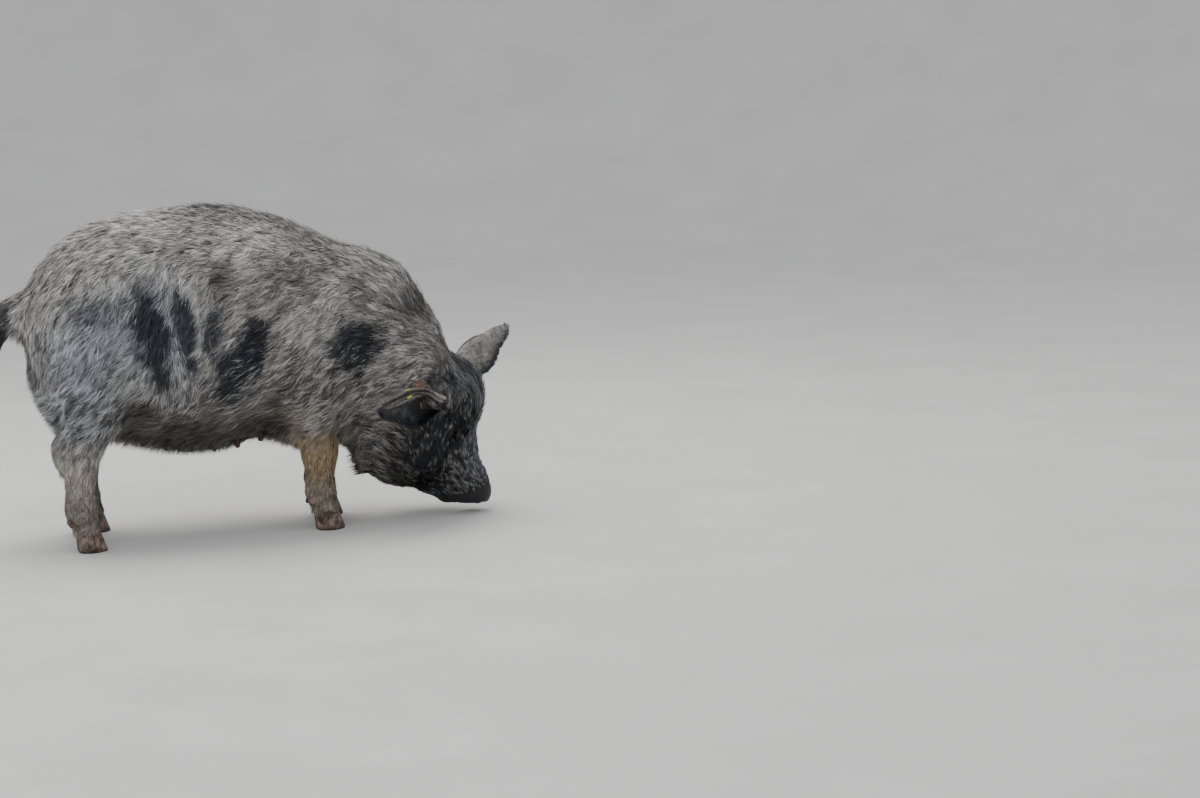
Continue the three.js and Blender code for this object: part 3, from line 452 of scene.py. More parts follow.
def roll_field(points, path, ends, middle, softness):
    """The distance to a soft roll along a path, with one radius at its ends and another between them."""
    return chain(points, path, [ends] + [middle] * (len(path) - 2) + [ends], softness)


def crease(d, p, path, width, depth):
    """Presses a soft furrow along a path into the skin."""
    def press(d, p):
        return d + depth * np.exp(-(line_distance(p, path) / width) ** 2)
    return on_part(d, p, within(p, path, 2.5 * width), press)


def eye_forms(side):
    centre, _ = EYES[side]

    def add(d, p):
        d = blend(d, roll_field(p, lid_path(side, 26), 2.2, 3.6, 1.5), 4)
        d = blend(d, roll_field(p, lid_path(side, -24), 2.2, 3.0, 1.5), 4)
        d = crease(d, p, lid_path(side, 60, 70, 4), 3.2, 3.0)
        d = crease(d, p, lid_path(side, -54, 66, 4), 3.0, 2.4)
        d = crease(d, p, lid_path(side, -82, 60, 9), 4.0, 2.2)
        return carve(d, np.linalg.norm(p - centre, axis=1) - (EYE_RADIUS + 0.2), 0.6)
    return add


def snout_forms(d, p):
    q = p - DISC_BACK
    along = q @ DISC_NORMAL
    wide = q @ HEAD_LEFT
    deep = q @ DISC_UP
    round_off = np.hypot(wide / DISC_WIDE, deep / DISC_DEEP)
    hollow = 2.2 * np.clip(1 - round_off ** 2, 0, 1)
    rim = (round_off - 1) * DISC_DEEP
    slab = np.abs(along - DISC_THICK / 2 + 4) - DISC_THICK / 2 - 4 + hollow
    disc = -blend(-slab, -rim, 7)
    d = blend(d, disc, 5)
    face = DISC_BACK + DISC_NORMAL * (DISC_THICK - 1)
    axes = np.stack([HEAD_LEFT, DISC_UP, DISC_NORMAL], axis=1)
    for side in (LEFT, RIGHT):
        centre = face + HEAD_LEFT * side * NOSTRIL_APART
        d = blend(d, ellipsoid(p, centre, (9.5, 11.5, 3.2), axes), 4)
        d = carve(d, ellipsoid(p, centre - DISC_UP * 1.0, (5.6, 7.6, 13), axes), 2.2)
    return d


def mouth_forms(d, p):
    d = blend(d, roll_field(p, UPPER_LIP, 2.5, 4.2, 2), 6)
    d = blend(d, roll_field(p, LOWER_LIP, 2.5, 4.0, 2), 6)
    return carve(d, roll_field(p, MOUTH, 1.2, 2.6, 1), 2)


def face_details(d, p):
    for path in BRIDGE_FOLDS:
        d = crease(d, p, path, 3.6, 2.6)
    for path in CHEEK_FOLDS:
        d = crease(d, p, path, 5.0, 3.0)
    d = on_part(d, p, within(p, MOUTH, 14), mouth_forms)
    for side, (centre, _) in EYES.items():
        d = on_part(d, p, near(p, centre, 36), eye_forms(side))
    return on_part(d, p, near(p, DISC_BACK, 66), snout_forms)


def teat_field(p):
    d = None
    for side in (RIGHT, LEFT):
        away = unit(vec(-0.1, side * 0.25, -1))
        for root in TEAT_ROOTS[side]:
            teat = cone(p, root - away * 8, root + away * (TEAT_LENGTH - 5), 8, 5.5)
            d = teat if d is None else np.minimum(d, teat)
    return d


def teat_roots(side):
    step = (TEAT_LAST_X - TEAT_FIRST_X) / (TEAT_PAIRS - 1)
    return [march(body_field, (TEAT_FIRST_X + step * i, side * TEAT_APART, 60), vec(0, 0, 1))
            for i in range(TEAT_PAIRS)]


TEAT_ROOTS = {RIGHT: teat_roots(RIGHT), LEFT: teat_roots(LEFT)}
HOOF_NORMAL = unit(vec(0.2, 0, 1))


def feet():
    places = []
    for fore_foot, foot_y, x, left_ahead in ((True, FORE_FOOT_Y, FORE_X + 10, LEFT_FORE_AHEAD),
                                             (False, HIND_FOOT_Y, HIND_X + 13, LEFT_HIND_AHEAD)):
        for name, side in (("right", RIGHT), ("left", LEFT)):
            ahead = left_ahead if side == LEFT else 0
            places.append((fore_foot, name, side, vec(x + ahead, side * foot_y, 0)))
    return places


def leg_details(d, p):
    """Knees, hocks, heels and the line where the hair meets the horn."""
    for fore_foot, _, side, foot in feet():
        knee = (foot + vec(-8, 0, 148), (30, 29, 30), 14)
        hock = (foot + vec(-38, 2 * side, 196), (20, 18, 32), 16)
        fetlock = (foot + vec(-12, 0, 74), (27, 31, 20), 10)
        heels = [(foot + vec(-14, outside * 14, 30), (19, 13, 24), 6) for outside in (LEFT, RIGHT)]
        for centre, radii, softness in [knee if fore_foot else hock, fetlock] + heels:
            d = blend(d, ellipsoid(p, centre, radii), softness)
        cleft = cone(p, foot + vec(32, 0, 44), foot + vec(14, 0, 70), 4, 2)
        d = carve(d, cleft, 6)
    for _, _, _, foot in feet():
        below = (p - foot - vec(0, 0, CLAW_HEIGHT - 3)) @ HOOF_NORMAL
        low = near(p, foot + vec(0, 0, 30), 90)
        d = np.where(low, -blend(-d, below, 3), d)
    return d


def ear_mound(ear):
    along = unit(ear["tip"] - ear["root"])

    def add(d, p):
        mound = cone(p, ear["root"] - along * 24, ear["root"] + along * 10, 24, 16)
        return blend(d, mound, 16)
    return add


def skin_field(p):
    d = body_field(p)
    close = np.abs(d) < 30
    d = on_part(d, p, close & near(p, FACE_CENTRE, 190), face_details)
    d = on_part(d, p, close & (p[:, 2] < 250) & (p[:, 0] < 230), leg_details)
    belly = close & (p[:, 2] < 260) & (np.abs(p[:, 1]) < 100) & (p[:, 0] < 90)
    d = on_part(d, p, belly, lambda d, p: blend(d, teat_field(p), 6))
    for ear in EARS.values():
        d = on_part(d, p, near(p, ear["root"], 90), ear_mound(ear))
    return d


# Ears: a bent leaf whose section is an arc, closed like a tube at the root and open at the tip

EARS = {
    RIGHT: {"root": vec(350, -146, 248), "tip": vec(206, -229, 254), "open": vec(-0.3, -0.93, -0.2),
            "droop": 12, "blunt": 5},
    LEFT: {"root": vec(420, 8, 280), "tip": vec(553, 66, 366), "open": vec(0.35, 0.75, -0.35),
           "droop": 10, "blunt": 3},
}


def ear_points(ear, u, w):
    """Points of an ear's middle sheet at u (root to tip) and w (rim to rim), with the way out of its back."""
    along = ear["tip"] - ear["root"]
    way = unit(along)
    opening = unit(ear["open"] - way * (ear["open"] @ way))
    across = np.cross(way, opening)
    swell = 0.62 + 0.38 * np.sin(math.pi * np.minimum(u * 1.35, 1))
    half_width = EAR_HALF_WIDTH * swell * np.sqrt(np.maximum(1.02 - u ** ear["blunt"], 0.0))
    half_angle = np.radians(118 - 82 * smoothstep(0, 0.75, u))
    radius = half_width / np.maximum(half_angle, 0.7)
    angle = half_angle * w
    lift = ear["droop"] * u * u - radius * fall(0, 0.5, u) * 0.6
    point = ear["root"] + along * u[:, None] + opening * (lift + radius * (1 - np.cos(angle)))[:, None]
    point = point + across * (radius * np.sin(angle))[:, None]
    back = across * np.sin(angle)[:, None] - opening * np.cos(angle)[:, None]
    return point, back


# Meshing of a field

def field_values(field, low, counts, cell):
    ys = low[1] + cell * np.arange(counts[1])
    zs = low[2] + cell * np.arange(counts[2])
    yy, zz = np.meshgrid(ys, zs, indexing="ij")
    values = np.empty(counts)
    for i in range(counts[0]):
        slab = np.column_stack([np.full(yy.size, low[0] + cell * i), yy.ravel(), zz.ravel()])
        values[i] = field(slab).reshape(yy.shape)
    return values


def shifted(array, offset, counts):
    part = tuple(slice(o, o + c - 1) for o, c in zip(offset, counts))
    return array[part]


def mesh_field(field, low, high, cell):
    """Vertices and quads of the zero level of a field, one vertex in each cell that it crosses."""
    counts = np.ceil((vec(*high) - vec(*low)) / cell).astype(int) + 1
    values = field_values(field, low, counts, cell)
    total = np.zeros(tuple(counts - 1) + (3,))
    crossings = np.zeros(tuple(counts - 1))
    for axis in range(3):
        step = [int(axis == k) for k in range(3)]
        others = [k for k in range(3) if k != axis]
        for m in (0, 1):
            for n in (0, 1):
                start = [0, 0, 0]
                start[others[0]] = m
                start[others[1]] = n
                a = shifted(values, start, counts)
                b = shifted(values, [s + t for s, t in zip(start, step)], counts)
                crossed = (a < 0) != (b < 0)
                t = np.where(crossed, a / np.where(crossed, a - b, 1), 0)
                for k in range(3):
                    total[..., k] += crossed * (start[k] + t * step[k])
                crossings += crossed
    used = crossings > 0
    index = np.full(used.shape, -1)
    index[used] = np.arange(used.sum())
    corner = np.argwhere(used)
    points = vec(*low) + cell * (corner + total[used] / crossings[used][:, None])
    quads = []
    for axis in range(3):
        step = [int(axis == k) for k in range(3)]
        u = [int((axis + 1) % 3 == k) for k in range(3)]
        w = [int((axis + 2) % 3 == k) for k in range(3)]
        inner = tuple(slice(0 if axis == k else 1, counts[k] - 1) for k in range(3))
        beyond = tuple(slice(part.start + s, part.stop + s) for part, s in zip(inner, step))
        a = values[inner]
        b = values[beyond]
        edges = np.argwhere((a < 0) != (b < 0)) + [part.start for part in inner]
        inside = values[tuple(edges.T)] < 0
        around = [index[tuple((edges - m * np.array(u) - n * np.array(w)).T)]
                  for m, n in ((0, 0), (1, 0), (1, 1), (0, 1))]
        faces = np.stack(around, axis=1)
        faces[~inside] = faces[~inside][:, ::-1]
        quads.append(faces)
    return points, np.concatenate(quads)


def settle(field, points, rounds=3, limit=2.0):
    for _ in range(rounds):
        values = field(points)
        slope = slope_of(field, points, values, SETTLE_STEP)
        size = np.maximum(np.sum(slope ** 2, axis=1), 0.3)
        move = -values[:, None] * slope / size[:, None]
        length = np.maximum(np.linalg.norm(move, axis=1), 1e-9)
        points = points + move * np.minimum(1, limit / length)[:, None]
    return points


# Meshes and attributes

def to_world(points):
    return (points + SHIFT) * MM


def add_object(name, data):
    obj = bpy.data.objects.new(name, data)
    bpy.context.scene.collection.objects.link(obj)
    return obj


def make_object(name, points, faces):
    mesh = bpy.data.meshes.new(name)
    mesh.from_pydata(to_world(points).tolist(), [], [list(map(int, face)) for face in faces])
    mesh.validate()
    mesh.polygons.foreach_set("use_smooth", np.full(len(mesh.polygons), True))
    mesh.update()
    return add_object(name, mesh)


def dome_faces(rows, around):
    """Faces between a point and the rings of points that follow it."""
    faces = [[0, 1 + j, 1 + (j + 1) % around] for j in range(around)]
    for i in range(rows - 1):
        for j in range(around):
            a = 1 + i * around + j
            b = 1 + i * around + (j + 1) % around
            faces.append([a, a + around, b + around, b])
    return faces


def set_vectors(obj, name, vectors):
    layer = obj.data.attributes.new(name, "FLOAT_VECTOR", "POINT")
    layer.data.foreach_set("vector", np.ascontiguousarray(vectors, dtype=np.float32).ravel())


# Markings, shared by skin and coat: how dark, how silvery and how warm the hair is at a place, with painted
# highlight and a painted bluish sheen in some places

EDGE_NOISE = Noise(46, seed=5)
FINE_NOISE = Noise(15, seed=6)
BROAD_NOISE = Noise(130, seed=7)

# Dark blotches of her right side, left side and back: middle, radii, turn in degrees, strength
RIGHT_BLOTCHES = [
    ((-40, -200, 366), (50, 90, 98), -32, 1.0),
    ((198, -165, 374), (58, 84, 54), 0, 0.97),
    ((-216, -185, 432), (30, 70, 100), 4, 1.0),
    ((-158, -200, 438), (20, 70, 84), 4, 0.97),
    ((-96, -210, 434), (22, 60, 48), -10, 0.9),
    ((-318, -170, 482), (66, 70, 24), 10, 0.45),
    ((-62, -180, 515), (32, 70, 48), -20, 0.42),
    ((100, -165, 520), (56, 70, 28), 0, 0.34),
    ((344, -90, 432), (46, 80, 40), 30, 0.5),
]
LEFT_BLOTCHES = [
    ((-10, 200, 400), (60, 90, 84), 24, 0.95),
    ((-170, 195, 350), (48, 80, 66), -18, 0.9),
    ((-300, 165, 470), (60, 80, 50), 20, 0.75),
    ((150, 165, 420), (70, 80, 60), -30, 0.9),
    ((60, 170, 300), (40, 80, 50), 0, 0.6),
    ((300, 60, 440), (80, 80, 64), 26, 0.6),
    ((-66, 200, 336), (36, 80, 42), 30, 0.9),
    ((-214, 190, 424), (30, 70, 50), 40, 0.8),
    ((206, 160, 372), (40, 70, 36), 0, 0.8),
    ((-346, 160, 420), (40, 70, 34), -24, 0.65),
    ((60, 190, 500), (26, 70, 44), 14, 0.6),
]
MIDDLE_BLOTCHES = [
    ((-56, 0, 648), (80, 34, 40), 0, 0.55),
    ((-250, 30, 600), (50, 40, 40), 0, 0.5),
]

# Soft patches, each with its middle and its radii along x, y and z, where nought leaves a way out
THIGH = ((-355, 0, 320), (75, 0, 90))
BUTTOCK = ((-405, 0, 530), (70, 0, 70))
# Painted bluish sheen on the haunch and the flank
SHEEN_HAUNCH = ((-320, 0, 440), (90, 0, 70))
SHEEN_FLANK = ((-190, 0, 430), (70, 0, 110))
ELBOW = ((60, 0, 250), (76, 0, 30))
LOWER_FLANK = ((60, 0, 330), (120, 0, 80))
# Painted shade on the lower flank
SHADED_FLANK = ((60, 0, 320), (150, 0, 60))

# Patches with a strength before them: dark round the ears, silver with painted highlight, and pale streaks
# over darker hair
ROUND_EARS = [
    (0.95, EARS[RIGHT]["root"] + vec(-10, 0, -34), (52, 60, 34)),
    (0.95, EARS[LEFT]["root"] + vec(0, 10, -30), (50, 60, 34)),
    (0.95, (326, -152, 240), (34, 60, 19)),
]
# Silver hair, made lighter as painted highlight on the top of the back and the haunch
SILVER_AND_HIGHLIGHT = [
    (1, (-230, 0, 640), (150, 0, 60)),
    (0.8, *THIGH),
    (0.85, (-340, 0, 420), (80, 0, 60)),
    (0.75, *BUTTOCK),
]
STREAKED = [
    (1, (90, 0, 320), (170, 0, 70)),
    (0.6, (-110, 0, 300), (110, 0, 50)),
    (0.75, (-350, 0, 270), (100, 0, 100)),
    (0.4, (-380, 0, 540), (80, 0, 60)),
]

# The rubbed red patch over the root of her right ear: its middle, and the ways along and across it
RED_PATCH = vec(310, -162, 284)
RED_ALONG = unit(vec(0.85, 0, -0.53))
RED_ACROSS = unit(vec(0.53, 0, 0.85))


def mound_share(points, centre, radii):
    """One at the middle of a soft patch and nought far from it."""
    size = np.zeros(len(points))
    for k in range(3):
        if radii[k]:
            size += ((points[:, k] - centre[k]) / radii[k]) ** 2
    return np.exp(-size)


def strongest(*shares):
    return np.maximum.reduce(np.broadcast_arrays(*shares))


def strongest_patch(points, patches):
    return strongest(*[strength * mound_share(points, *patch) for strength, *patch in patches])


def blotch(points, wobble, centre, radii, turn, strength):
    q = points - vec(*centre)
    c, s = math.cos(math.radians(turn)), math.sin(math.radians(turn))
    x = q[:, 0] * c + q[:, 2] * s
    z = q[:, 2] * c - q[:, 0] * s
    size = np.sqrt((x / radii[0]) ** 2 + (q[:, 1] / radii[1]) ** 2 + (z / radii[2]) ** 2)
    return strength * fall(0.7, 1.25, size + 0.16 * wobble)


def grizzle(points):
    """Where pale-tipped streaks lie over darker hair."""
    return strongest_patch(points, STREAKED)


def face_share(points):
    return smoothstep(-10, 70, (points - FACE_POINT) @ FACE_NORMAL)


def under_neck_share(points):
    return fall(190, 275, points[:, 2]) * smoothstep(150, 215, points[:, 0])


def head_places(points):
    """How far points lie down, behind and to the left of the middle of the head."""
    q = points - HEAD_ORIGIN
    return q @ FACE_DOWN, q @ DORSAL, q @ HEAD_LEFT


def pigments_and_sheen(points):
    """Three shares for each point: dark, silver, and a third share that is warm above nought and a painted
    bluish sheen below nought.
    """
    x, _, z = points.T
    edge = EDGE_NOISE(points)
    fine = FINE_NOISE(points)
    face = face_share(points)
    under_neck = under_neck_share(points)
    down, behind, left = head_places(points)
    on_face = face * smoothstep(-60, -10, behind + 0.2 * down)
    # profile: the lit edge down the middle of the face, where painted highlight makes the hair less dark and
    # a painted bluish sheen lies
    profile = on_face * fall(20, 52, np.abs(left)) * smoothstep(50, 110, down)
    fore = fall(180, 235, z + 10 * edge) * (x > 0) * fall(160, 200, x) * (1 - face)
    hind = fall(170, 240, z + 12 * edge) * (x < -200)
    tail = smoothstep(-452, -475, x)

    wobble = 0.7 * edge + 0.5 * fine
    blotches = [blotch(points, wobble, *mark) for mark in RIGHT_BLOTCHES + LEFT_BLOTCHES + MIDDLE_BLOTCHES]
    dark = strongest(0.0, *blotches)
    dark = np.clip(dark + 0.08 * BROAD_NOISE(points) * (dark < 0.4), 0, 1)
    dark = strongest(
        dark,
        0.66 * grizzle(points) * (1 - face),
        on_face * smoothstep(10, 120, down + 10 * fine),
        face * 0.86,
        face * smoothstep(140, 200, down),
        face * smoothstep(-138, -100, behind + 5 * edge) * smoothstep(45, 95, down + 8 * fine),
        strongest_patch(points, ROUND_EARS),
        0.9 * under_neck,
    )
    dark = dark * (1 - 0.3 * profile) * (1 - fore) * (1 - hind)
    dark = np.maximum(dark, tail * 0.9)

    silver = strongest(strongest_patch(points, SILVER_AND_HIGHLIGHT), 0.45 + 0.22 * BROAD_NOISE(points + 500))
    silver = silver * (1 - 0.8 * dark) * (1 - 0.7 * face) * (1 - tail)

    elbow = mound_share(points, *ELBOW) * (1 - face)
    tan = mound_share(points, *BUTTOCK)
    cheek = face * (1 - on_face) + 0.6 * under_neck
    warm = fore * (0.5 + 0.45 * smoothstep(70, 140, z)) + 0.3 * elbow + 0.3 * hind + 0.3 * tan
    warm = warm + 0.35 * cheek + 0.12 * mound_share(points, *LOWER_FLANK)
    # A painted bluish sheen on the haunch, flank and thigh and along the lit profile of the face
    haunch, flank, thigh = (mound_share(points, *patch) for patch in (SHEEN_HAUNCH, SHEEN_FLANK, THIGH))
    blue_sheen = (0.75 * haunch + 0.5 * flank + 0.5 * thigh + 0.7 * profile) * (1 - fore) * (1 - tail)
    return np.column_stack([np.clip(dark, 0, 1), np.clip(silver, 0, 1), np.clip(warm - blue_sheen, -1, 1)])


def shade_and_mud(points):
    """How much darker the hair is: painted shade low on the body, under the belly, in the groin and under the
    jaw, and mud on the lower legs.
    """
    x, _, z = points.T
    low = fall(250, 420, z)
    foot = smoothstep(250, 180, z) * fall(225, 235, x)
    under = fall(225, 310, z) * smoothstep(80, 40, x) * smoothstep(-290, -250, x)
    jowl = fall(160, 270, z) * smoothstep(180, 230, x)
    flank = 0.12 * mound_share(points, *SHADED_FLANK) * (1 - face_share(points))
    cannon = fall(90, 150, z) * (x < 225)
    # low, under, jowl, flank and groin are painted shade; cannon is mud on the lower legs
    dim = 0.12 * low * (1 - foot) + 0.68 * under + 0.26 * jowl + flank
    return np.clip(dim + 0.4 * groin_share(points) + 0.24 * cannon, 0, 0.75)


# Materials

def colour_of(hex_value):
    def linear(c):
        return c / 12.92 if c <= 0.04045 else ((c + 0.055) / 1.055) ** 2.4
    return tuple(linear(((hex_value >> s) & 255) / 255) for s in (16, 8, 0)) + (1.0,)


def grey(level):
    return (level, level, level, 1)


WHITE = grey(1)
TAUPE = colour_of(0x77726D)
CHARCOAL = colour_of(0x18202C)
SILVER = colour_of(0xC6C4C1)
# Painted sheen colours: a pale bluish tip and a darker bluish grey for the hair
SHEEN_TIP_BLUE = colour_of(0xAFBED5)
SHEEN_BLUE = colour_of(0x5F6B7C)
CREAM = colour_of(0x957B54)
YELLOW_GREY = colour_of(0xBDB397)
# Near black painted shade in the gaps between hairs, laid on the skin under the coat
GAP_SHADE = colour_of(0x231F1E)
PUPIL = colour_of(0x030304)


class Paint:
    """One material's graph of nodes, with a method for each kind of node in use here."""

    def __init__(self, name):
        self.material = bpy.data.materials.new(name)
        self.material.use_nodes = True
        self.tree = self.material.node_tree
        self.surface = self.tree.nodes["Principled BSDF"]

    def join(self, source, socket):
        """Links another node's output to a socket, or gives the socket a value."""
        if isinstance(source, bpy.types.NodeSocket):
            self.tree.links.new(source, socket)
        else:
            socket.default_value = source

    def put(self, name, source):
        self.join(source, self.surface.inputs[name])

    def node(self, kind, inputs, **settings):
        node = self.tree.nodes.new("ShaderNode" + kind)
        for name, value in settings.items():
            setattr(node, name, value)
        for name, source in inputs.items():
            self.join(source, node.inputs[name])
        return node

    def mix(self, factor, first, second, kind="MIX"):
        inputs = {0: factor, 6: first, 7: second}
        return self.node("Mix", inputs, data_type="RGBA", blend_type=kind).outputs[2]

    def times(self, first, second):
        return self.mix(1.0, first, second, "MULTIPLY")

    def math(self, operation, *values, clamp=False):
        return self.node("Math", dict(enumerate(values)), operation=operation, use_clamp=clamp).outputs[0]

    def parts(self, attribute):
        source = self.node("Attribute", {}, attribute_name=attribute)
        return self.node("SeparateXYZ", {0: source.outputs["Vector"]}).outputs

    def place(self):
        return self.node("TexCoord", {}).outputs["Object"]

    def noise(self, scale, detail=3.0, roughness=0.55, where=None):
        where = self.place() if where is None else where
        inputs = {"Scale": scale, "Detail": detail, "Roughness": roughness, "Vector": where}
        return self.node("TexNoise", inputs).outputs["Fac"]

    def ramp(self, factor, *stops):
        """Colours for a factor; each stop is a position and a colour."""
        node = self.node("ValToRGB", {0: factor})
        elements = node.color_ramp.elements
        while len(elements) < len(stops):
            elements.new(0.5)
        for element, (position, colour) in zip(elements, stops):
            element.position = position
            element.color = colour
        return node.outputs[0]

    def relief(self, height, strength, distance):
        node = self.node("Bump", {"Height": height, "Strength": strength, "Distance": distance})
        self.put("Normal", node.outputs[0])


def hair_colour(paint, dark, silver, cast):
    """The colour along a hair, and that of its tip, turned toward painted bluish sheen colours where the
    third share is below nought.
    """
    warm = paint.math("MULTIPLY", cast, 1.0, clamp=True)
    blue_sheen = paint.math("MULTIPLY", cast, -1.0, clamp=True)
    base = paint.mix(silver, TAUPE, SILVER)
    base = paint.mix(warm, base, CREAM)
    base = paint.mix(paint.math("MULTIPLY", blue_sheen, 0.6), base, SHEEN_BLUE)
    tip = paint.mix(warm, SILVER, YELLOW_GREY)
    tip = paint.mix(blue_sheen, tip, SHEEN_TIP_BLUE)
    return paint.mix(dark, base, CHARCOAL), tip


def coat_material():
    paint = Paint("coat_hair")
    strength, along, frost = paint.parts("strand")
    colour, tip_colour = hair_colour(paint, *paint.parts("pigment_and_sheen"))
    shaded_root = paint.ramp(along, (0.0, (0.22, 0.21, 0.21, 1)), (0.55, WHITE))
    tip = paint.math("MULTIPLY", paint.math("POWER", along, 1.4), frost, clamp=True)
    colour = paint.mix(tip, paint.times(colour, shaded_root), tip_colour)
    speck = paint.ramp(paint.noise(420, 2), (0.3, grey(0.85)), (0.7, grey(1.1)))
    paint.put("Base Color", paint.times(paint.times(colour, strength), speck))
    paint.put("Roughness", paint.math("MULTIPLY_ADD", paint.noise(60, 2), 0.2, 0.42))
    paint.put("Specular IOR Level", 0.4)
    paint.relief(paint.noise(900, 1), 0.25, 0.0006)
    return paint.material


def skin_material():
    paint = Paint("skin")
    bare, pink, wet = paint.parts("bareness")
    hair, _ = hair_colour(paint, *paint.parts("pigment_and_sheen"))
    # The skin under hair is darkened toward near black: painted shade between the hairs
    hair = paint.mix(0.7, hair, GAP_SHADE)
    mottle = paint.noise(34, 4)
    dusky = paint.mix(mottle, colour_of(0x151519), colour_of(0x282629))
    rosy = paint.mix(mottle, colour_of(0x7A5450), colour_of(0xA87E75))
    colour = paint.mix(bare, hair, paint.mix(pink, dusky, rosy))
    speck = paint.ramp(paint.noise(260, 3), (0.3, grey(0.78)), (0.7, grey(1.15)))
    paint.put("Base Color", paint.times(colour, speck))
    rough = paint.math("MULTIPLY_ADD", wet, -0.25, 0.68)
    paint.put("Roughness", paint.math("MULTIPLY_ADD", mottle, 0.12, rough))
    paint.put("Specular IOR Level", 0.3)
    cells = paint.node("TexVoronoi", {"Scale": 300, "Vector": paint.place()}, feature="DISTANCE_TO_EDGE")
    grain = paint.math("MULTIPLY_ADD", cells.outputs["Distance"], 0.8, paint.noise(180, 4))
    paint.relief(grain, 0.5, 0.0012)
    return paint.material


def eye_material():
    paint = Paint("eye")
    ring, _, _ = paint.parts("iris")
    iris = paint.ramp(
        ring,
        (0.0, PUPIL),
        (0.22, PUPIL),
        (0.27, colour_of(0x1A110B)),
        (0.44, colour_of(0x24180F)),
        (0.50, colour_of(0x080605)),
        (0.60, colour_of(0x120E0F)),
    )
    fibres = paint.ramp(paint.noise(700, 3), (0.3, grey(0.7)), (0.7, grey(1.25)))
    paint.put("Base Color", paint.times(iris, fibres))
    paint.put("Roughness", 0.16)
    paint.put("Specular IOR Level", 0.3)
    paint.put("Coat Weight", 0.22)
    paint.put("Coat Roughness", 0.05)
    paint.relief(paint.noise(300, 2), 0.05, 0.0003)
    return paint.material


def horn_material():
    paint = Paint("claw_horn")
    height, _, _ = paint.parts("growth")
    stretched = paint.node("Mapping", {"Scale": (1.0, 1.0, 0.12), "Vector": paint.place()})
    streaks = paint.noise(260, 4, 0.6, stretched.outputs[0])
    base = paint.ramp(
        streaks,
        (0.25, colour_of(0x645650)),
        (0.5, colour_of(0x8C786F)),
        (0.8, colour_of(0xAC968B)),
    )
    worn = paint.ramp(
        height,
        (0.0, colour_of(0x5A4F46)),
        (0.22, WHITE),
        (0.85, WHITE),
        (1.0, colour_of(0x948078)),
    )
    mud = paint.ramp(paint.noise(45, 5, 0.65), (0.42, WHITE), (0.6, colour_of(0x7A6B58)))
    paint.put("Base Color", paint.times(paint.times(base, worn), mud))
    inputs = {"Scale": 60, "Distortion": 1.5, "Vector": paint.place()}
    rings = paint.node("TexWave", inputs, bands_direction="Z")
    paint.relief(paint.math("MULTIPLY_ADD", rings.outputs["Fac"], 0.5, streaks), 0.4, 0.0009)
    paint.put("Roughness", paint.math("MULTIPLY_ADD", streaks, 0.3, 0.45))
    return paint.material


def tag_material():
    paint = Paint("tag_plastic")
    wear = paint.noise(120, 4)
    colour = paint.ramp(
        wear,
        (0.3, colour_of(0x8FA63C)),
        (0.55, colour_of(0xB2CC4E)),
        (0.8, colour_of(0xC3D878)),
    )
    paint.put("Base Color", colour)
    paint.put("Roughness", paint.math("MULTIPLY_ADD", wear, 0.25, 0.32))
    paint.relief(paint.noise(900, 2), 0.15, 0.0004)
    return paint.material


def floor_material():
    paint = Paint("floor")
    tone = paint.ramp(paint.noise(3, 3), (0.3, (0.62, 0.61, 0.59, 1)), (0.7, (0.68, 0.67, 0.65, 1)))
    paint.put("Base Color", tone)
    paint.put("Roughness", 0.9)
    return paint.material


# The skin

def refine(points, faces, wanted):
    """Splits each face whose corners are all wanted into four, with matching faces round it."""
    bm = bmesh.new()
    verts = [bm.verts.new(p) for p in points.tolist()]
    for face in faces:
        try:
            bm.faces.new([verts[i] for i in face])
        except ValueError:
            pass
    bm.verts.ensure_lookup_table()
    chosen = {e for e in bm.edges if all(wanted[v.index] for v in e.verts)}
    bm.verts.index_update()
    bmesh.ops.subdivide_edges(bm, edges=list(chosen), cuts=1, use_grid_fill=True)
    bm.verts.index_update()
    new_points = np.array([v.co[:] for v in bm.verts])
    new_faces = [[v.index for v in f.verts] for f in bm.faces]
    bm.free()
    return new_points, new_faces


def fine_places(p):
    """Where the mesh is split once more: round the eyes, the mouth and the snout disc."""
    fine = near(p, DISC_BACK + DISC_NORMAL * 6, 46) | (line_distance(p, MOUTH) < 9)
    for centre, _ in EYES.values():
        fine |= near(p, centre, 30)
    return fine


def ear_mesh(ear, long_steps=44, cross_steps=36):
    """An ear's two faces and rim as one closed sheet: points, faces, and w for each point."""
    u, w = np.meshgrid(np.linspace(0, 1, long_steps + 1), np.linspace(-1, 1, cross_steps + 1), indexing="ij")
    u = u.ravel()
    w = w.ravel()
    point, back = ear_points(ear, u, w)
    veins = 0.5 * np.sin(w * 9 + 2 * u) * u
    half = EAR_THICK / 2 * (1 - 0.45 * np.abs(w) ** 3) * (1.25 - 0.6 * u)
    outer = point + back * half[:, None]
    inner = point - back * (half + veins)[:, None]
    wide = cross_steps + 1
    layer = wide * (long_steps + 1)
    points = np.concatenate([outer, inner])
    faces = []
    for i in range(long_steps):
        for j in range(cross_steps):
            a = i * wide + j
            faces.append([a, a + wide, a + wide + 1, a + 1])
            faces.append([layer + a, layer + a + 1, layer + a + wide + 1, layer + a + wide])
    rim = list(range(cross_steps))
    rim += [i * wide + cross_steps for i in range(long_steps)]
    rim += [long_steps * wide + j for j in range(cross_steps, 0, -1)]
    rim += [i * wide for i in range(long_steps, 0, -1)]
    for n, a in enumerate(rim):
        b = rim[(n + 1) % len(rim)]
        faces.append([a, b, b + layer, a + layer])
    return points, faces, np.concatenate([w, w])


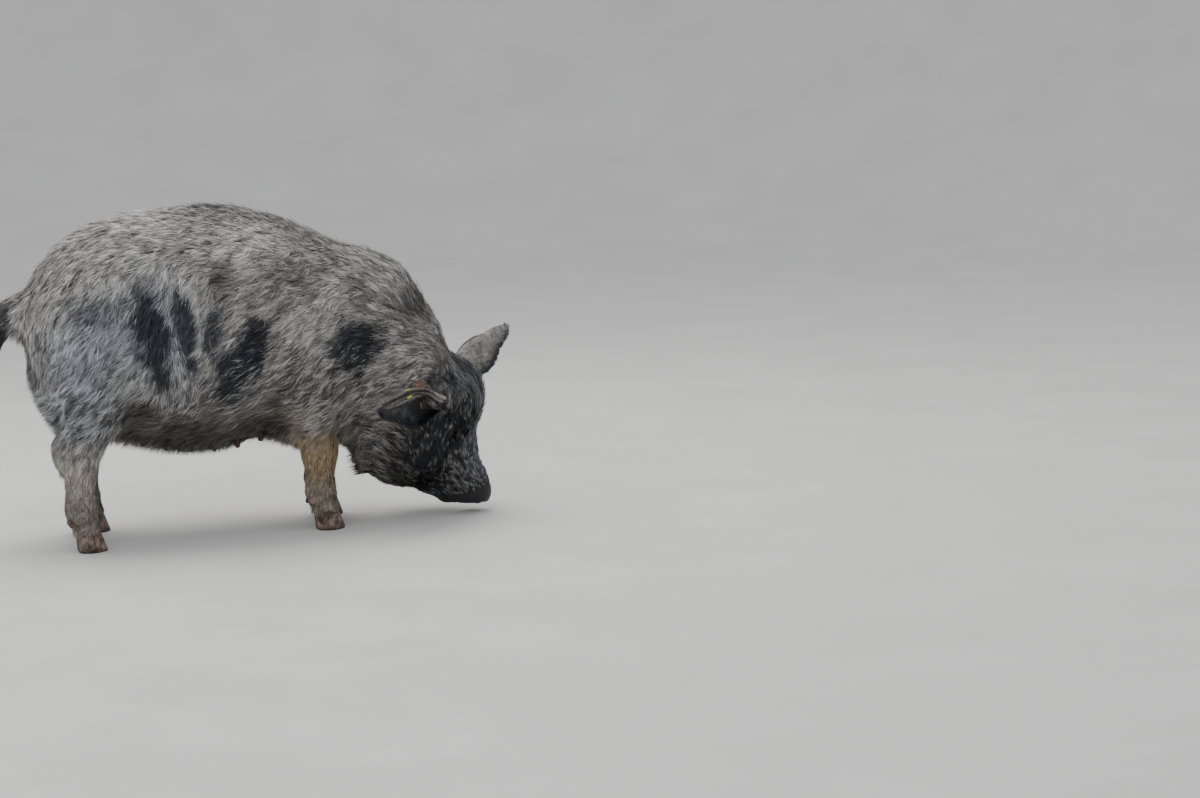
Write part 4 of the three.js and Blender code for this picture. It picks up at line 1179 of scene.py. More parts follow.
def skin_mesh():
    points, faces = mesh_field(skin_field, SKIN_LOW, SKIN_HIGH, SKIN_CELL)
    points = settle(skin_field, points, 2)
    on_face = (points - FACE_POINT) @ FACE_NORMAL > 10
    on_foot = (points[:, 2] < 110) & (points[:, 0] < 215)
    points, faces = refine(points, faces, on_face | on_foot)
    detailed = ((points - FACE_POINT) @ FACE_NORMAL > 5) | (points[:, 2] < 120)
    points[detailed] = settle(skin_field, points[detailed], 2, 1.5)
    points, faces = refine(points, faces, fine_places(points))
    finest = fine_places(points)
    points[finest] = settle(skin_field, points[finest], 3, 0.8)
    return points, faces


def round_eyes(points, inner, outer):
    """One close to the eyes and nought beyond the outer distance."""
    away = [np.linalg.norm(points - centre, axis=1) for centre, _ in EYES.values()]
    return fall(inner, outer, np.minimum(*away))


def bareness(points):
    """Three shares for each point of the skin: how bare, how pink and how wet it is."""
    x, y, z = points.T
    disc = smoothstep(-16, 2, (points - DISC_BACK) @ DISC_NORMAL)
    eye = round_eyes(points, 16, 22)
    mouth = fall(5, 12, line_distance(points, MOUTH))
    belly = fall(215, 262, z + 14 * EDGE_NOISE(points)) * fall(85, 125, np.abs(y)) * (x < 90) * (z > 160)
    groin = groin_share(points)
    redness = ear_redness(points)
    bare = np.clip(disc + eye + mouth + belly + 0.8 * groin + 0.8 * redness, 0, 1)
    pink = np.clip(0.2 * belly + 0.4 * groin + redness, 0, 1)
    wet = np.clip(disc + 0.6 * eye + 0.5 * mouth, 0, 1)
    return np.column_stack([bare, pink, wet])


def groin_share(points):
    """The bare fold between the belly and each hind leg."""
    x, y, z = points.T
    size = np.sqrt(((x + 236) / 56) ** 2 + ((z - 278) / 34) ** 2)
    return fall(0.6, 1.15, size) * (np.abs(y) < 185)


def ear_redness(points):
    """The rubbed patch of skin over the root of her right ear."""
    q = points - RED_PATCH
    size = np.sqrt((q @ RED_ALONG / 27) ** 2 + (q @ RED_ACROSS / 17) ** 2 + (q[:, 1] / 40) ** 2)
    return fall(0.6, 1.15, size + 0.12 * EDGE_NOISE(points))


def build_skin(material):
    points, faces = skin_mesh()
    pieces = [points]
    all_faces = [list(face) for face in faces]
    marks = [pigments_and_sheen(points)]
    bares = [bareness(points)]
    start = len(points)
    for ear in EARS.values():
        ear_verts, ear_faces, w = ear_mesh(ear)
        half = len(ear_verts) // 2
        inside = np.concatenate([np.zeros(half), np.ones(half)])
        pieces.append(ear_verts)
        all_faces += [[i + start for i in face] for face in ear_faces]
        start += len(ear_verts)
        marks.append(ear_pigments(ear_verts, w, inside))
        bares.append(np.column_stack([0.2 + 0.3 * inside, 0.03 * inside, np.zeros(2 * half)]))
    skin = make_object("skin", np.concatenate(pieces), all_faces)
    set_vectors(skin, "pigment_and_sheen", np.concatenate(marks))
    set_vectors(skin, "bareness", np.concatenate(bares))
    skin.data.materials.append(material)
    triangles = triangles_of(faces)
    return skin, (points, vertex_normals(points, triangles), triangles)


def ear_pigments(points, w, inside):
    """Brown-grey backs, pale upper rims, dark lower rims, and insides darkened further as painted shade in
    the curl of the ear.
    """
    fine = FINE_NOISE(points)
    lower = smoothstep(-0.35, -0.8, w)
    upper = smoothstep(0.72, 0.92, w)
    # inside adds painted shade to the curled inner face of the ear
    dark = np.clip(0.46 + 0.16 * fine + 0.54 * inside, 0, 1)
    dark = np.maximum(dark, 0.97 * lower) * (1 - 0.6 * upper)
    silver = 0.25 * (1 - inside) * (1 - lower) + 0.35 * upper
    return np.column_stack([dark, np.clip(silver, 0, 1), 0.14 + 0 * fine])


def triangles_of(faces):
    triangles = []
    for face in faces:
        for k in range(2, len(face)):
            triangles.append((face[0], face[k - 1], face[k]))
    return np.array(triangles)


def vertex_normals(points, triangles):
    a, b, c = (points[triangles[:, k]] for k in range(3))
    across = np.cross(b - a, c - a)
    normals = np.empty_like(points)
    for axis in range(3):
        normals[:, axis] = sum(np.bincount(triangles[:, k], across[:, axis], len(points)) for k in range(3))
    return units(normals)


# The coat

def hair_lie(p):
    """Which way the hair lies: back along the spine, down behind the ribs, up the forehead to the poll."""
    x, _, z = p.T
    on_face = face_share(p)[:, None]
    on_neck = smoothstep(140, 280, x)[:, None]
    slant = 26 - 14 * smoothstep(480, 600, z)
    rump = fall(-300, -210, x)
    slant = slant + (56 - slant) * rump * fall(560, 640, z)
    flank = np.exp(-((x + 168) / 72) ** 2) * fall(500, 600, z)
    slant = slant + (84 - slant) * flank
    under = fall(262, 325, z) * smoothstep(-270, -230, x)
    slant = slant + (18 - slant) * under
    slant = np.radians(slant + (32 - slant) * mound_share(p, (-350, 0, 290), (100, 0, 55)))
    flat = np.zeros(len(p))
    trunk = np.column_stack([-np.cos(slant), flat, -np.sin(slant)])
    low = fall(330, 480, z)
    neck = np.column_stack([flat - 0.9, flat, 0.7 - 0.85 * low])
    leg = fall(150, 260, z)[:, None] * (x < 225)[:, None]
    trunk = trunk * (1 - leg) + vec(-0.25, 0, -1) * leg
    face = -FACE_DOWN - DORSAL * 0.35
    lie = trunk * (1 - on_neck) + neck * on_neck
    lie = lie * (1 - on_face) + face * on_face
    tail = smoothstep(-440, -470, x)[:, None]
    tail_way = np.column_stack([-smoothstep(400, 470, z) * 1.2, flat, flat - 1])
    return units(lie * (1 - tail) + tail_way * tail)


def sample_surface(skin, density):
    """Random points on the skin and its ways out there; density gives how many for each square centimetre."""
    points, normals, tri = skin
    a, b, c = (points[tri[:, k]] for k in range(3))
    area = np.linalg.norm(np.cross(b - a, c - a), axis=1) / 200
    share = area * density((a + b + c) / 3)
    count = int(share.sum())
    edges = np.cumsum(share)
    picks = (np.arange(count) + RANDOM.uniform(0, 1, count)) * edges[-1] / count
    index = np.minimum(np.searchsorted(edges, picks), len(tri) - 1)
    s = np.sqrt(RANDOM.uniform(0, 1, count))
    t = RANDOM.uniform(0, 1, count)
    weights = np.column_stack([1 - s, s * (1 - t), s * t])
    roots = sum(weights[:, k, None] * points[tri[index, k]] for k in range(3))
    out = sum(weights[:, k, None] * normals[tri[index, k]] for k in range(3))
    return roots, units(out)


# Each part's place on the unwrap, as its left, its bottom, its width and its height, and the size of one tuft
UNWRAP = {
    "trunk": (0.0, 0.0, 1.0, 0.55),
    "head": (0.0, 0.56, 0.6, 0.22),
    "legs": (0.0, 0.79, 1.0, 0.14),
    "tail": (0.62, 0.56, 0.16, 0.22),
    "ears": (0.8, 0.56, 0.18, 0.22),
}
TUFT_PATCH = 0.003


def unwrap(points):
    """Places of roots on a flat map of the skin: trunk, head, each leg and tail are rolled out in turn."""
    x, y, z = points.T
    uv = np.empty((len(points), 2))
    turn = np.arctan2(y, z - 400) / (2 * math.pi) + 0.5
    fill_patch(uv, slice(None), "trunk", turn, (x + 480) / 960)
    head = face_share(points) > 0.5
    q = points[head] - head_point(120, -50, 0)
    turn = np.arctan2(q @ HEAD_LEFT, q @ DORSAL) / (2 * math.pi) + 0.5
    fill_patch(uv, head, "head", turn, (q @ FACE_DOWN + 200) / 400)
    for number, (_, _, _, foot) in enumerate(feet()):
        leg = (z < 240) & near(points * vec(1, 1, 0), foot, 100) & ~head
        turn = np.arctan2(points[leg][:, 1] - foot[1], points[leg][:, 0] - foot[0] + 10) / (2 * math.pi) + 0.5
        fill_patch(uv, leg, "legs", (number + turn) / 4, points[leg][:, 2] / 240)
    tail = x < -462
    turn = np.arctan2(y[tail] - 10, x[tail] + 500) / (2 * math.pi) + 0.5
    fill_patch(uv, tail, "tail", turn, (z[tail] - 120) / 380)
    return uv


def fill_patch(uv, chosen, part, u, v):
    left, low, wide, high = UNWRAP[part]
    uv[chosen, 0] = left + np.clip(u, 0, 1) * wide * 0.98
    uv[chosen, 1] = low + np.clip(v, 0, 1) * high * 0.98


SWAY_NOISE = Noise(70, waves=16, seed=12)
HEIGHT_NOISE = Noise(20, waves=24, seed=13)
LATTICE = np.array([[0.81, 0.47, 0.35], [-0.53, 0.83, 0.19], [-0.21, -0.33, 0.92]])


def cell_values(points, size, count, seed):
    """Even random numbers from nought to one for each cell of a skewed lattice, and the cells' middles."""
    cells = np.floor(points @ LATTICE / size)
    keys = cells @ vec(12.9898, 78.233, 37.719) + seed
    values = np.column_stack([np.sin(keys * (1 + 0.37 * k)) * 43758.5453 for k in range(count)])
    middles = (cells + 0.5) @ np.linalg.inv(LATTICE) * size
    return values - np.floor(values), middles


def clump_chance(points, size, seed):
    """One random number for each clump, the same for all its points."""
    values, _ = cell_values(points, size, 1, seed)
    return values[:, 0]


def rolled(across, normals, spread):
    """The ways across flat tufts, each rolled a little about its length."""
    roll = RANDOM.normal(0, spread, len(across))
    return across * np.cos(roll)[:, None] + normals * np.sin(roll)[:, None]


def add_row(rows, middle, sideways, width, thickness):
    """Adds the vertices of tufts at one station: two beside each other, or one at the tip."""
    if thickness > 0:
        half = sideways * (width * thickness / 2)[:, None]
        rows += [middle - half, middle + half]
    else:
        rows.append(middle)


def tuft_points(roots, normals, lie, length, width, rise, bend=0.14, stray=0.04, gather=0.75):
    """Vertices of flat tapering tufts that leave the skin, lie along it and draw together in small clumps."""
    count = len(roots)
    facing = np.sum(lie * normals, axis=1)[:, None]
    steep = smoothstep(0.55, 0.9, facing)
    along = units(lie - normals * facing * (1 - steep))
    across = units(np.cross(normals, along))
    swing = 0.14 * SWAY_NOISE(roots) + RANDOM.normal(0, 0.06, count)
    chance, middles = cell_values(roots, CLUMP_SIZE, 2, 1.7)
    swing = swing + 0.4 * (chance[:, 0] - 0.5)
    along = units(along + across * swing[:, None])
    across = units(np.cross(normals, along))
    drawn = gather * np.sum((middles - roots) * across, axis=1)
    curve = RANDOM.normal(0, bend, count) + 0.3 * (chance[:, 1] - 0.5)
    height = rise * (0.75 + 0.2 * HEIGHT_NOISE(roots) + RANDOM.uniform(-0.3, 0.35, count))
    wild = RANDOM.uniform(0, 1, count) < stray
    height = np.where(wild, height * 1.6 + 1, height)
    sideways = rolled(across, normals, 0.5)
    rows = []
    for share, thickness in SHORT_STATIONS:
        step = along + across * (curve * share)[:, None]
        place_at = roots + step * (length * share)[:, None] + across * (drawn * share)[:, None]
        level = -ROOT_SINK + (height + ROOT_SINK) * (1 - (1 - share) ** RISE_CURVE)
        if share > 0:
            off = np.clip(level - skin_field(place_at), -20, 40)[:, None]
            place_at = place_at + normals * off * (1 - steep)
        else:
            place_at = roots - normals * ROOT_SINK
        add_row(rows, place_at, sideways, width, thickness)
    return np.stack(rows, axis=1)


def tuft_faces(station_count):
    faces = []
    for i in range(station_count - 2):
        a = 2 * i
        faces.append([a, a + 1, a + 3, a + 2])
    last = 2 * (station_count - 2)
    faces.append([last, last + 1, last + 2])
    return faces


def grow(name, vertices, stations, marks, strength, frost, uv, material, root_light=0.0):
    """Joins many tufts into one mesh, with their markings and their places on the unwrap."""
    count, per = vertices.shape[:2]
    pattern = tuft_faces(len(stations))
    corners = np.concatenate([np.array(face) for face in pattern])
    loops = (np.arange(count)[:, None] * per + corners[None]).ravel()
    sizes = np.tile([len(face) for face in pattern], count)
    mesh = bpy.data.meshes.new(name)
    mesh.vertices.add(count * per)
    mesh.vertices.foreach_set("co", to_world(vertices.reshape(-1, 3)).astype(np.float32).ravel())
    mesh.loops.add(len(loops))
    mesh.loops.foreach_set("vertex_index", loops.astype(np.int32))
    starts = np.concatenate([[0], np.cumsum(sizes)[:-1]])
    mesh.polygons.add(len(sizes))
    mesh.polygons.foreach_set("loop_start", starts.astype(np.int32))
    mesh.polygons.foreach_set("loop_total", sizes.astype(np.int32))
    mesh.polygons.foreach_set("use_smooth", np.ones(len(sizes), bool))
    mesh.update(calc_edges=True)
    obj = add_object(name, mesh)
    shares = np.array([share for share, thickness in stations for _ in range(2 if thickness > 0 else 1)])
    sides = np.array([s for _, thickness in stations for s in ((-1, 1) if thickness > 0 else (0,))])
    along = root_light + (1 - root_light) * shares
    strand = np.stack(np.broadcast_arrays(strength[:, None], along[None], frost[:, None]), axis=2)
    set_vectors(obj, "strand", strand.reshape(-1, 3))
    set_vectors(obj, "pigment_and_sheen", np.repeat(marks, per, axis=0))
    layer = mesh.uv_layers.new(name="OFBake")
    spots = uv[:, None, :] + TUFT_PATCH * np.stack([sides * 0.5, shares], axis=1)[None]
    layer.data.foreach_set("uv", spots.reshape(-1, 2)[loops].astype(np.float32).ravel())
    mesh.materials.append(material)
    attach(obj, "root")
    return obj


def frosting(points, marks):
    """How silvery each tuft's tip is: a little nearly everywhere, much in some clumps of each place, and more
    down the middle of the face as painted highlight.
    """
    dark = marks[:, 0]
    face = face_share(points)
    off_face = 1 - face
    streaked = grizzle(points)
    under_neck = under_neck_share(points)
    down, behind, left = head_places(points)
    beside = np.abs(left)
    common = RANDOM.normal(0.28, 0.2, len(points)) * (1 - 0.85 * dark)
    forehead = face * fall(60, 130, down) * smoothstep(-70, -20, behind)
    # Pale tips along the lit edge down the middle of the face: painted highlight
    profile = face * fall(16, 50, beside) * smoothstep(60, 110, down) * smoothstep(-60, -10, behind)
    muzzle = face * smoothstep(185, 215, down) * fall(50, 80, beside) * smoothstep(-70, -30, behind)
    jowl = face * fall(-130, -105, behind)
    share = 0.34 * off_face * (1 - 0.85 * dark) + 0.38 * streaked * off_face
    share = share + 0.25 * face + 0.07 * forehead + 0.36 * profile + 0.3 * muzzle + 0.3 * jowl
    share = share + 0.46 * under_neck * off_face
    streaky = np.maximum(streaked * off_face, under_neck) + jowl > 0.35
    own = clump_chance(points, CLUMP_SIZE, 5.1)
    chance = np.where(streaky, 1 - clump_chance(points, CLUMP_SIZE, STRENGTH_SEED), own)
    bright = 0.65 * chance + 0.35 * RANDOM.uniform(0, 1, len(points)) < share
    return np.clip(np.where(bright, RANDOM.uniform(0.5, 1.0, len(points)), common), 0, 1)


def cover(name, roots, normals, length, width, rise, material, **options):
    """Grows one piece of coat from its roots; length, width and rise are in millimetres for each root."""
    marks = pigments_and_sheen(roots)
    vertices = tuft_points(roots, normals, hair_lie(roots), length, width, rise, **options)
    vertices[..., 2] = np.maximum(vertices[..., 2], FLOOR_GAP)
    frost = frosting(roots, marks)
    strength = strengths(roots)
    return grow(name, vertices, SHORT_STATIONS, marks, strength, frost, unwrap(roots), material)


def cover_parts(parts, roots, normals, length, width, rise, material, **options):
    """Grows a region's coat in pieces; parts gives each piece's name and which roots are its own."""
    for name, own in parts.items():
        own_values = [values[own] for values in (roots, normals, length, width, rise)]
        cover(f"coat_{name}", *own_values, material, **options)


def strengths(roots):
    """How light or dark each tuft is beside its neighbours, darkened by painted shade low on the body and by
    mud on the lower legs.
    """
    chance = clump_chance(roots, CLUMP_SIZE, STRENGTH_SEED)
    on_leg = smoothstep(250, 180, roots[:, 2]) * (roots[:, 0] < 225)
    spread = (1.35 + 0.35 * grizzle(roots)) * (1 - 0.55 * on_leg)
    strength = 0.97 + RANDOM.normal(0, 0.22, len(roots)) + spread * (chance - 0.5)
    strength = strength + 0.08 * HEIGHT_NOISE(roots)
    # Darker low on the body and under the jaw as painted shade, and on the lower legs with mud
    return np.clip(strength, 0.2, 2.1) * (1 - shade_and_mud(roots))


def bald(points):
    """Share of hair that is missing at a place."""
    x, y, z = points.T
    disc = smoothstep(-22, -6, (points - DISC_BACK) @ DISC_NORMAL)
    eye = round_eyes(points, 16, 20)
    mouth = fall(3, 7, line_distance(points, MOUTH))
    hoof = fall(34, 42, z)
    belly = fall(205, 250, z) * fall(70, 110, np.abs(y)) * (x < 90) * (z > 160)
    teats = np.zeros(len(points))
    low = (z < 240) & (np.abs(y) < 90) & (z > 150)
    teats[low] = fall(1, 5, teat_field(points[low]))
    groin = 0.8 * groin_share(points)
    redness = 0.9 * ear_redness(points)
    return np.clip(disc + eye + mouth + hoof + 0.6 * belly + teats + groin + redness, 0, 1)


def is_face(p):
    return (p - FACE_POINT) @ FACE_NORMAL > 0


def is_leg(p):
    return (p[:, 2] < 225) & (p[:, 0] < 225) & ~is_face(p)


def is_tail(p):
    return p[:, 0] < -474


def trunk_density(p):
    return TRUNK_TUFTS * (1 - bald(p)) * ~is_face(p) * ~is_leg(p) * ~is_tail(p)


def near_redness(points):
    """Nearness to the rubbed patch, where the hair is short."""
    return mound_share(points, RED_PATCH + vec(14, 0, 0), (52, 80, 38))


def build_trunk_coat(skin, material):
    roots, normals = sample_surface(skin, trunk_density)
    x, y, z = roots.T
    fringe = np.exp(-((z - 268) / 34) ** 2) * (x < 40) * (x > -260) * (np.abs(y) > 100)
    crest = smoothstep(250, 340, x)
    length = 32 + 8 * crest - 4 * fall(-420, -340, x) + 18 * fringe
    length = length * RANDOM.uniform(0.65, 1.3, len(roots)) * (1 - 0.72 * near_redness(roots))
    width = RANDOM.uniform(1.0, 2.0, len(roots))
    rise = 7.5 + 2.5 * smoothstep(560, 640, z) + 1.5 * fringe + 1.5 * crest
    parts = {}
    for region, (back, front) in TRUNK_PIECES.items():
        for side_name, side in (("right", y < 0), ("left", y >= 0)):
            parts[f"{region}_{side_name}"] = (x >= back) & (x < front) & side
    cover_parts(parts, roots, normals, length, width, rise, material)


def build_face_coat(skin, material):
    roots, normals = sample_surface(skin, lambda p: FACE_TUFTS * (1 - bald(p)) * is_face(p))
    down, behind, left = head_places(roots)
    jowl = smoothstep(-40, -100, behind) * fall(200, 250, down)
    near_eye = strongest(*[mound_share(roots, centre, (34, 34, 34)) for centre, _ in EYES.values()])
    length = 31 - 12 * smoothstep(70, 150, down) - 8 * smoothstep(180, 240, down) + 12 * jowl
    length = length * (1 - 0.55 * near_eye)
    length = length * RANDOM.uniform(0.65, 1.3, len(roots)) * (1 - 0.72 * near_redness(roots))
    width = 1.0 + 0.4 * jowl + RANDOM.uniform(0, 0.7, len(roots))
    rise = 5.2 - 2.6 * smoothstep(80, 200, down) + 3.5 * jowl
    parts = {"face_right": left < 0, "face_left": left >= 0}
    cover_parts(parts, roots, normals, length, width, rise, material, stray=0.06)


def build_leg_coat(skin, material):
    roots, normals = sample_surface(skin, lambda p: LEG_TUFTS * (1 - bald(p)) * is_leg(p))
    x, _, z = roots.T
    length = (12 + 16 * smoothstep(110, 215, z)) * RANDOM.uniform(0.7, 1.3, len(roots))
    width = RANDOM.uniform(0.7, 1.3, len(roots))
    rise = 1.5 + 4.0 * smoothstep(120, 220, z)
    parts = {"forelegs": x > 0, "hindlegs": x <= 0}
    cover_parts(parts, roots, normals, length, width, rise, material, bend=0.08, gather=0.15)


def build_tail_coat(skin, material):
    roots, normals = sample_surface(skin, lambda p: TAIL_TUFTS * is_tail(p))
    count = len(roots)
    length = 26 * RANDOM.uniform(0.7, 1.2, count)
    width = RANDOM.uniform(1.1, 2.0, count)
    cover("coat_tail", roots, normals, length, width, np.full(count, 4.0), material, stray=0.02)
    roots, normals = sample_surface(skin, lambda p: SWITCH_TUFTS * is_tail(p) * (p[:, 2] < 290))
    vertices = hanging_tufts(roots, normals)
    marks = pigments_and_sheen(roots)
    frost = frosting(roots, marks)
    strength = strengths(roots)
    grow("coat_switch", vertices, LONG_STATIONS, marks, strength, frost, unwrap(roots), material)


def hanging_tufts(roots, normals):
    """Long hair that hangs from the end of the tail."""
    count = len(roots)
    length = (62 + 22 * fall(230, 290, roots[:, 2])) * RANDOM.uniform(0.7, 1.1, count)
    way_x = RANDOM.normal(0, 0.06, count)
    way_y = RANDOM.normal(0, 0.06, count)
    way = units(side_by_side(way_x, way_y, -1.0))
    sideways = units(np.cross(way, RANDOM.normal(size=(count, 3))))
    width = RANDOM.uniform(1.2, 2.2, count)
    rows = []
    for share, thickness in LONG_STATIONS:
        bulge = 3.5 * math.sin(math.pi * min(share * 1.2, 1))
        place_at = roots + way * (length * share)[:, None] + normals * vec(1, 1, 0) * (bulge - ROOT_SINK)
        add_row(rows, place_at, sideways, width, thickness)
    return np.stack(rows, axis=1)


def side_by_side(*shares):
    """One row for each point, made of arrays or single values."""
    return np.stack(np.broadcast_arrays(*shares), axis=1)


def ear_roots(ear, u, w, face):
    """Places on one face of an ear, with the way out of it and the way to the tip."""
    point, back = ear_points(ear, u, w)
    ahead, _ = ear_points(ear, np.minimum(u + 0.02, 1.0), w)
    normal = back * face
    return point + normal * (EAR_THICK / 2 * 0.8), normal, units(ahead - point + 1e-6)


def ear_sets(ear):
    """Sets of an ear's hair: short on the back, dark inside, pale and thick along the upper rim."""
    sets = []
    for face, count, base_length, rise in ((1, 11000, 17, 3.0), (-1, 6500, 14, 2.4)):
        u = RANDOM.uniform(0.02, 0.995, count)
        w = RANDOM.uniform(-1, 1, count)
        roots, normals, lie = ear_roots(ear, u, w, face)
        lie = units(lie + ear_spread(ear, u, w) * (0.7 * np.abs(w) ** 6)[:, None])
        length = base_length * RANDOM.uniform(0.7, 1.3, count) * (1 - 0.45 * smoothstep(-0.7, -1, w))
        width = RANDOM.uniform(1.0, 1.8, count)
        tufts = ear_tufts(roots, normals, lie, length, width, rise, over_skin=face == -1)
        frost = 0.9 * clump_chance(roots, 5.0, 3.3) - 0.25 + 0.4 * np.maximum(w, 0) ** 4
        frost = np.clip(frost, 0, 1) * smoothstep(-0.9, -0.4, w)
        if face == -1:
            frost = frost * 0.22
        inside = np.full(count, float(face < 0))
        sets.append((tufts, roots, u, w, inside, frost, ear_pigments(roots, w, inside)))
    sets.append(ear_band(ear, 4200, -1, 0.74, 4.5))
    sets.append(ear_band(ear, 2400, 1, 0.84, 3.0))
    sets.append(ear_edge(ear, 2600))
    sets.append(ear_under_rim(ear, 900))
    sets.append(ear_fringe(ear, 1500))
    return sets


def ear_spread(ear, u, w):
    """The way out of the nearest rim, along the ear."""
    here, _ = ear_points(ear, u, w)
    further, _ = ear_points(ear, u, w + 0.02 * np.sign(w))
    return units(further - here + 1e-9)


def ear_band(ear, count, face, start, rise):
    """The thick pale hair along the upper rim, on one face of the ear: it lies out over the edge."""
    u = RANDOM.uniform(0.01, 0.985, count)
    w = start + (1 - start) * RANDOM.uniform(0, 1, count) ** 0.7
    roots, normals, lie = ear_roots(ear, u, w, face)
    lie = units(lie * RANDOM.uniform(0.1, 1.1, count)[:, None] + ear_spread(ear, u, w))
    length = RANDOM.uniform(7, 13, count)
    tufts = ear_tufts(roots, normals, lie, length, RANDOM.uniform(1.0, 1.8, count), rise)
    chance = clump_chance(roots, 4.0, 6.1)
    frost = np.clip(0.15 + 0.85 * chance + RANDOM.normal(0, 0.15, count), 0, 1)
    marks = side_by_side(0.28 - 0.2 * chance, 0.4, 0.16)
    return tufts, roots, u, w, np.full(count, float(face < 0)), frost, marks


def ear_under_rim(ear, count):
    """Short dark hair that stands out along the lower rim."""
    u = RANDOM.uniform(0.02, 0.99, count)
    w = RANDOM.uniform(-1.0, -0.93, count)
    roots, normals, lie = ear_roots(ear, u, w, -1)
    lie = units(lie * RANDOM.uniform(0.6, 1.4, count)[:, None] + ear_spread(ear, u, w))
    length = RANDOM.uniform(5, 9, count)
    tufts = ear_tufts(roots, normals, lie, length, RANDOM.uniform(1.0, 1.7, count), 1.5)
    return tufts, roots, u, w, np.ones(count), RANDOM.uniform(0.0, 0.15, count), ear_pigments(roots, w, 1.0)


def ear_edge(ear, count):
    """Pale hair that stands up from the very edge of the upper rim and fans back over it."""
    u = RANDOM.uniform(0.0, 0.985, count)
    w = RANDOM.uniform(0.95, 1.0, count)
    point, back = ear_points(ear, u, w)
    _, _, lie = ear_roots(ear, u, w, 1)
    normals = units(ear_spread(ear, u, w) + back * RANDOM.uniform(0.3, 2.4, count)[:, None])
    length = RANDOM.uniform(4, 9, count)
    tufts = ear_tufts(point, normals, lie, length, RANDOM.uniform(1.1, 1.9, count), 7.5)
    frost = RANDOM.uniform(0.3, 1.0, count)
    marks = side_by_side(RANDOM.uniform(0.0, 0.25, count), 0.45, 0.16)
    return tufts, point, u, w, np.zeros(count), frost, marks


def ear_fringe(ear, count):
    """Sparse long hair that hangs from under the upper rim over the open side."""
    u = RANDOM.uniform(0.1, 0.95, count)
    w = RANDOM.uniform(0.55, 0.9, count)
    roots, normals, lie = ear_roots(ear, u, w, -1)
    here, _ = ear_points(ear, u, w)
    middle, _ = ear_points(ear, u, w * 0.4)
    lie = units(lie * 0.7 + units(middle - here))
    length = RANDOM.uniform(10, 21, count)
    tufts = ear_tufts(roots, normals, lie, length, RANDOM.uniform(0.9, 1.5, count), 4.0)
    chance = clump_chance(roots, 5.0, 8.7)
    marks = side_by_side(0.9 - 0.5 * chance, 0.4, 0.25)
    frost = np.clip(0.9 * chance - 0.15, 0, 1)
    return tufts, roots, u, w, np.ones(count), frost, marks


def ear_tufts(roots, normals, lie, length, width, rise, over_skin=False):
    count = len(roots)
    along = across_surface(lie, normals)
    across = np.cross(normals, along)
    along = units(along + across * RANDOM.normal(0, 0.2, count)[:, None])
    across = np.cross(normals, along)
    sideways = rolled(across, normals, 0.4)
    rows = []
    for share, thickness in SHORT_STATIONS:
        place_at = roots + along * (length * share)[:, None]
        level = rise * (1 - (1 - share) ** RISE_CURVE) - 0.8
        place_at = place_at + normals * level
        if over_skin:
            place_at = place_at + normals * np.clip(level - skin_field(place_at), 0, 30)[:, None]
        add_row(rows, place_at, sideways, width, thickness)
    return np.stack(rows, axis=1)


def build_ear_coats(material):
    for name, side in (("right", RIGHT), ("left", LEFT)):
        sets = ear_sets(EARS[side])
        tufts, roots, u, w, inside, frost, marks = (np.concatenate([s[k] for s in sets]) for k in range(7))
        uv = np.empty((len(roots), 2))
        shelf = (0.0 if side == RIGHT else 0.5) + 0.25 * inside
        fill_patch(uv, slice(None), "ears", shelf + 0.23 * (w * 0.5 + 0.5), u)
        strength = np.clip(RANDOM.normal(1.0, 0.3, len(roots)), 0.3, 1.8)
        grow(f"coat_ear_{name}", tufts, SHORT_STATIONS, marks, strength, frost, uv, material, EAR_ROOT_LIGHT)


# Eyes

def build_eye(name, side, material):
    centre, outward = EYES[side]
    along, dorsal = eye_axes(outward)
    rings, around = 36, 48
    points = [centre + outward * EYE_RADIUS * 1.06]
    turns = [0.0]
    for i in range(1, rings):
        angle = math.pi * i / rings
        bulge = 1 + 0.06 * math.exp(-(angle / 0.55) ** 4)
        for j in range(around):
            turn = 2 * math.pi * j / around
            direction = outward * math.cos(angle)
            direction = direction + (along * math.cos(turn) + dorsal * math.sin(turn)) * math.sin(angle)
            points.append(centre + direction * EYE_RADIUS * bulge)
            turns.append(angle / math.pi * 2)
    points.append(centre - outward * EYE_RADIUS)
    turns.append(2.0)
    faces = dome_faces(rings - 1, around)
    last = len(points) - 1
    start = 1 + (rings - 2) * around
    faces += [[last, start + (j + 1) % around, start + j] for j in range(around)]
    eye = make_object(f"eyeball_{name}", np.array(points), faces)
    set_vectors(eye, "iris", np.column_stack([turns, turns, turns]))
    eye.data.materials.append(material)
    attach(eye, "root")
    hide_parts(f"eye_{name}")


# Claws

def claw_rings(foot, outside, levels, around):
    rings = []
    for level in levels:
        shrink = 1 - 0.16 * level
        lean = -9 * level
        edge = 1 - 0.05 * math.exp(-(level / 0.05) ** 2)
        ring = []
        for i in range(around):
            angle = -math.pi / 2 + math.pi * i / (around - 1)
            toe = 1 - 0.35 * max(math.sin(angle), 0) ** 2
            across = CLAW_CLEFT + CLAW_WIDTH * shrink * toe * edge * max(math.cos(angle), 0) ** 0.75
            along = CLAW_LENGTH / 2 * shrink * edge * math.sin(angle) + 8 + lean
            toe_in = 0.12 * max(along, 0)
            x = foot[0] + along
            limit = CLAW_HEIGHT - 0.2 * (x - foot[0]) + 2.0
            height = min(level * CLAW_HEIGHT, limit)
            ring.append((x, foot[1] + outside * max(across - toe_in, CLAW_CLEFT), height))
        rings.append(ring)
    return rings


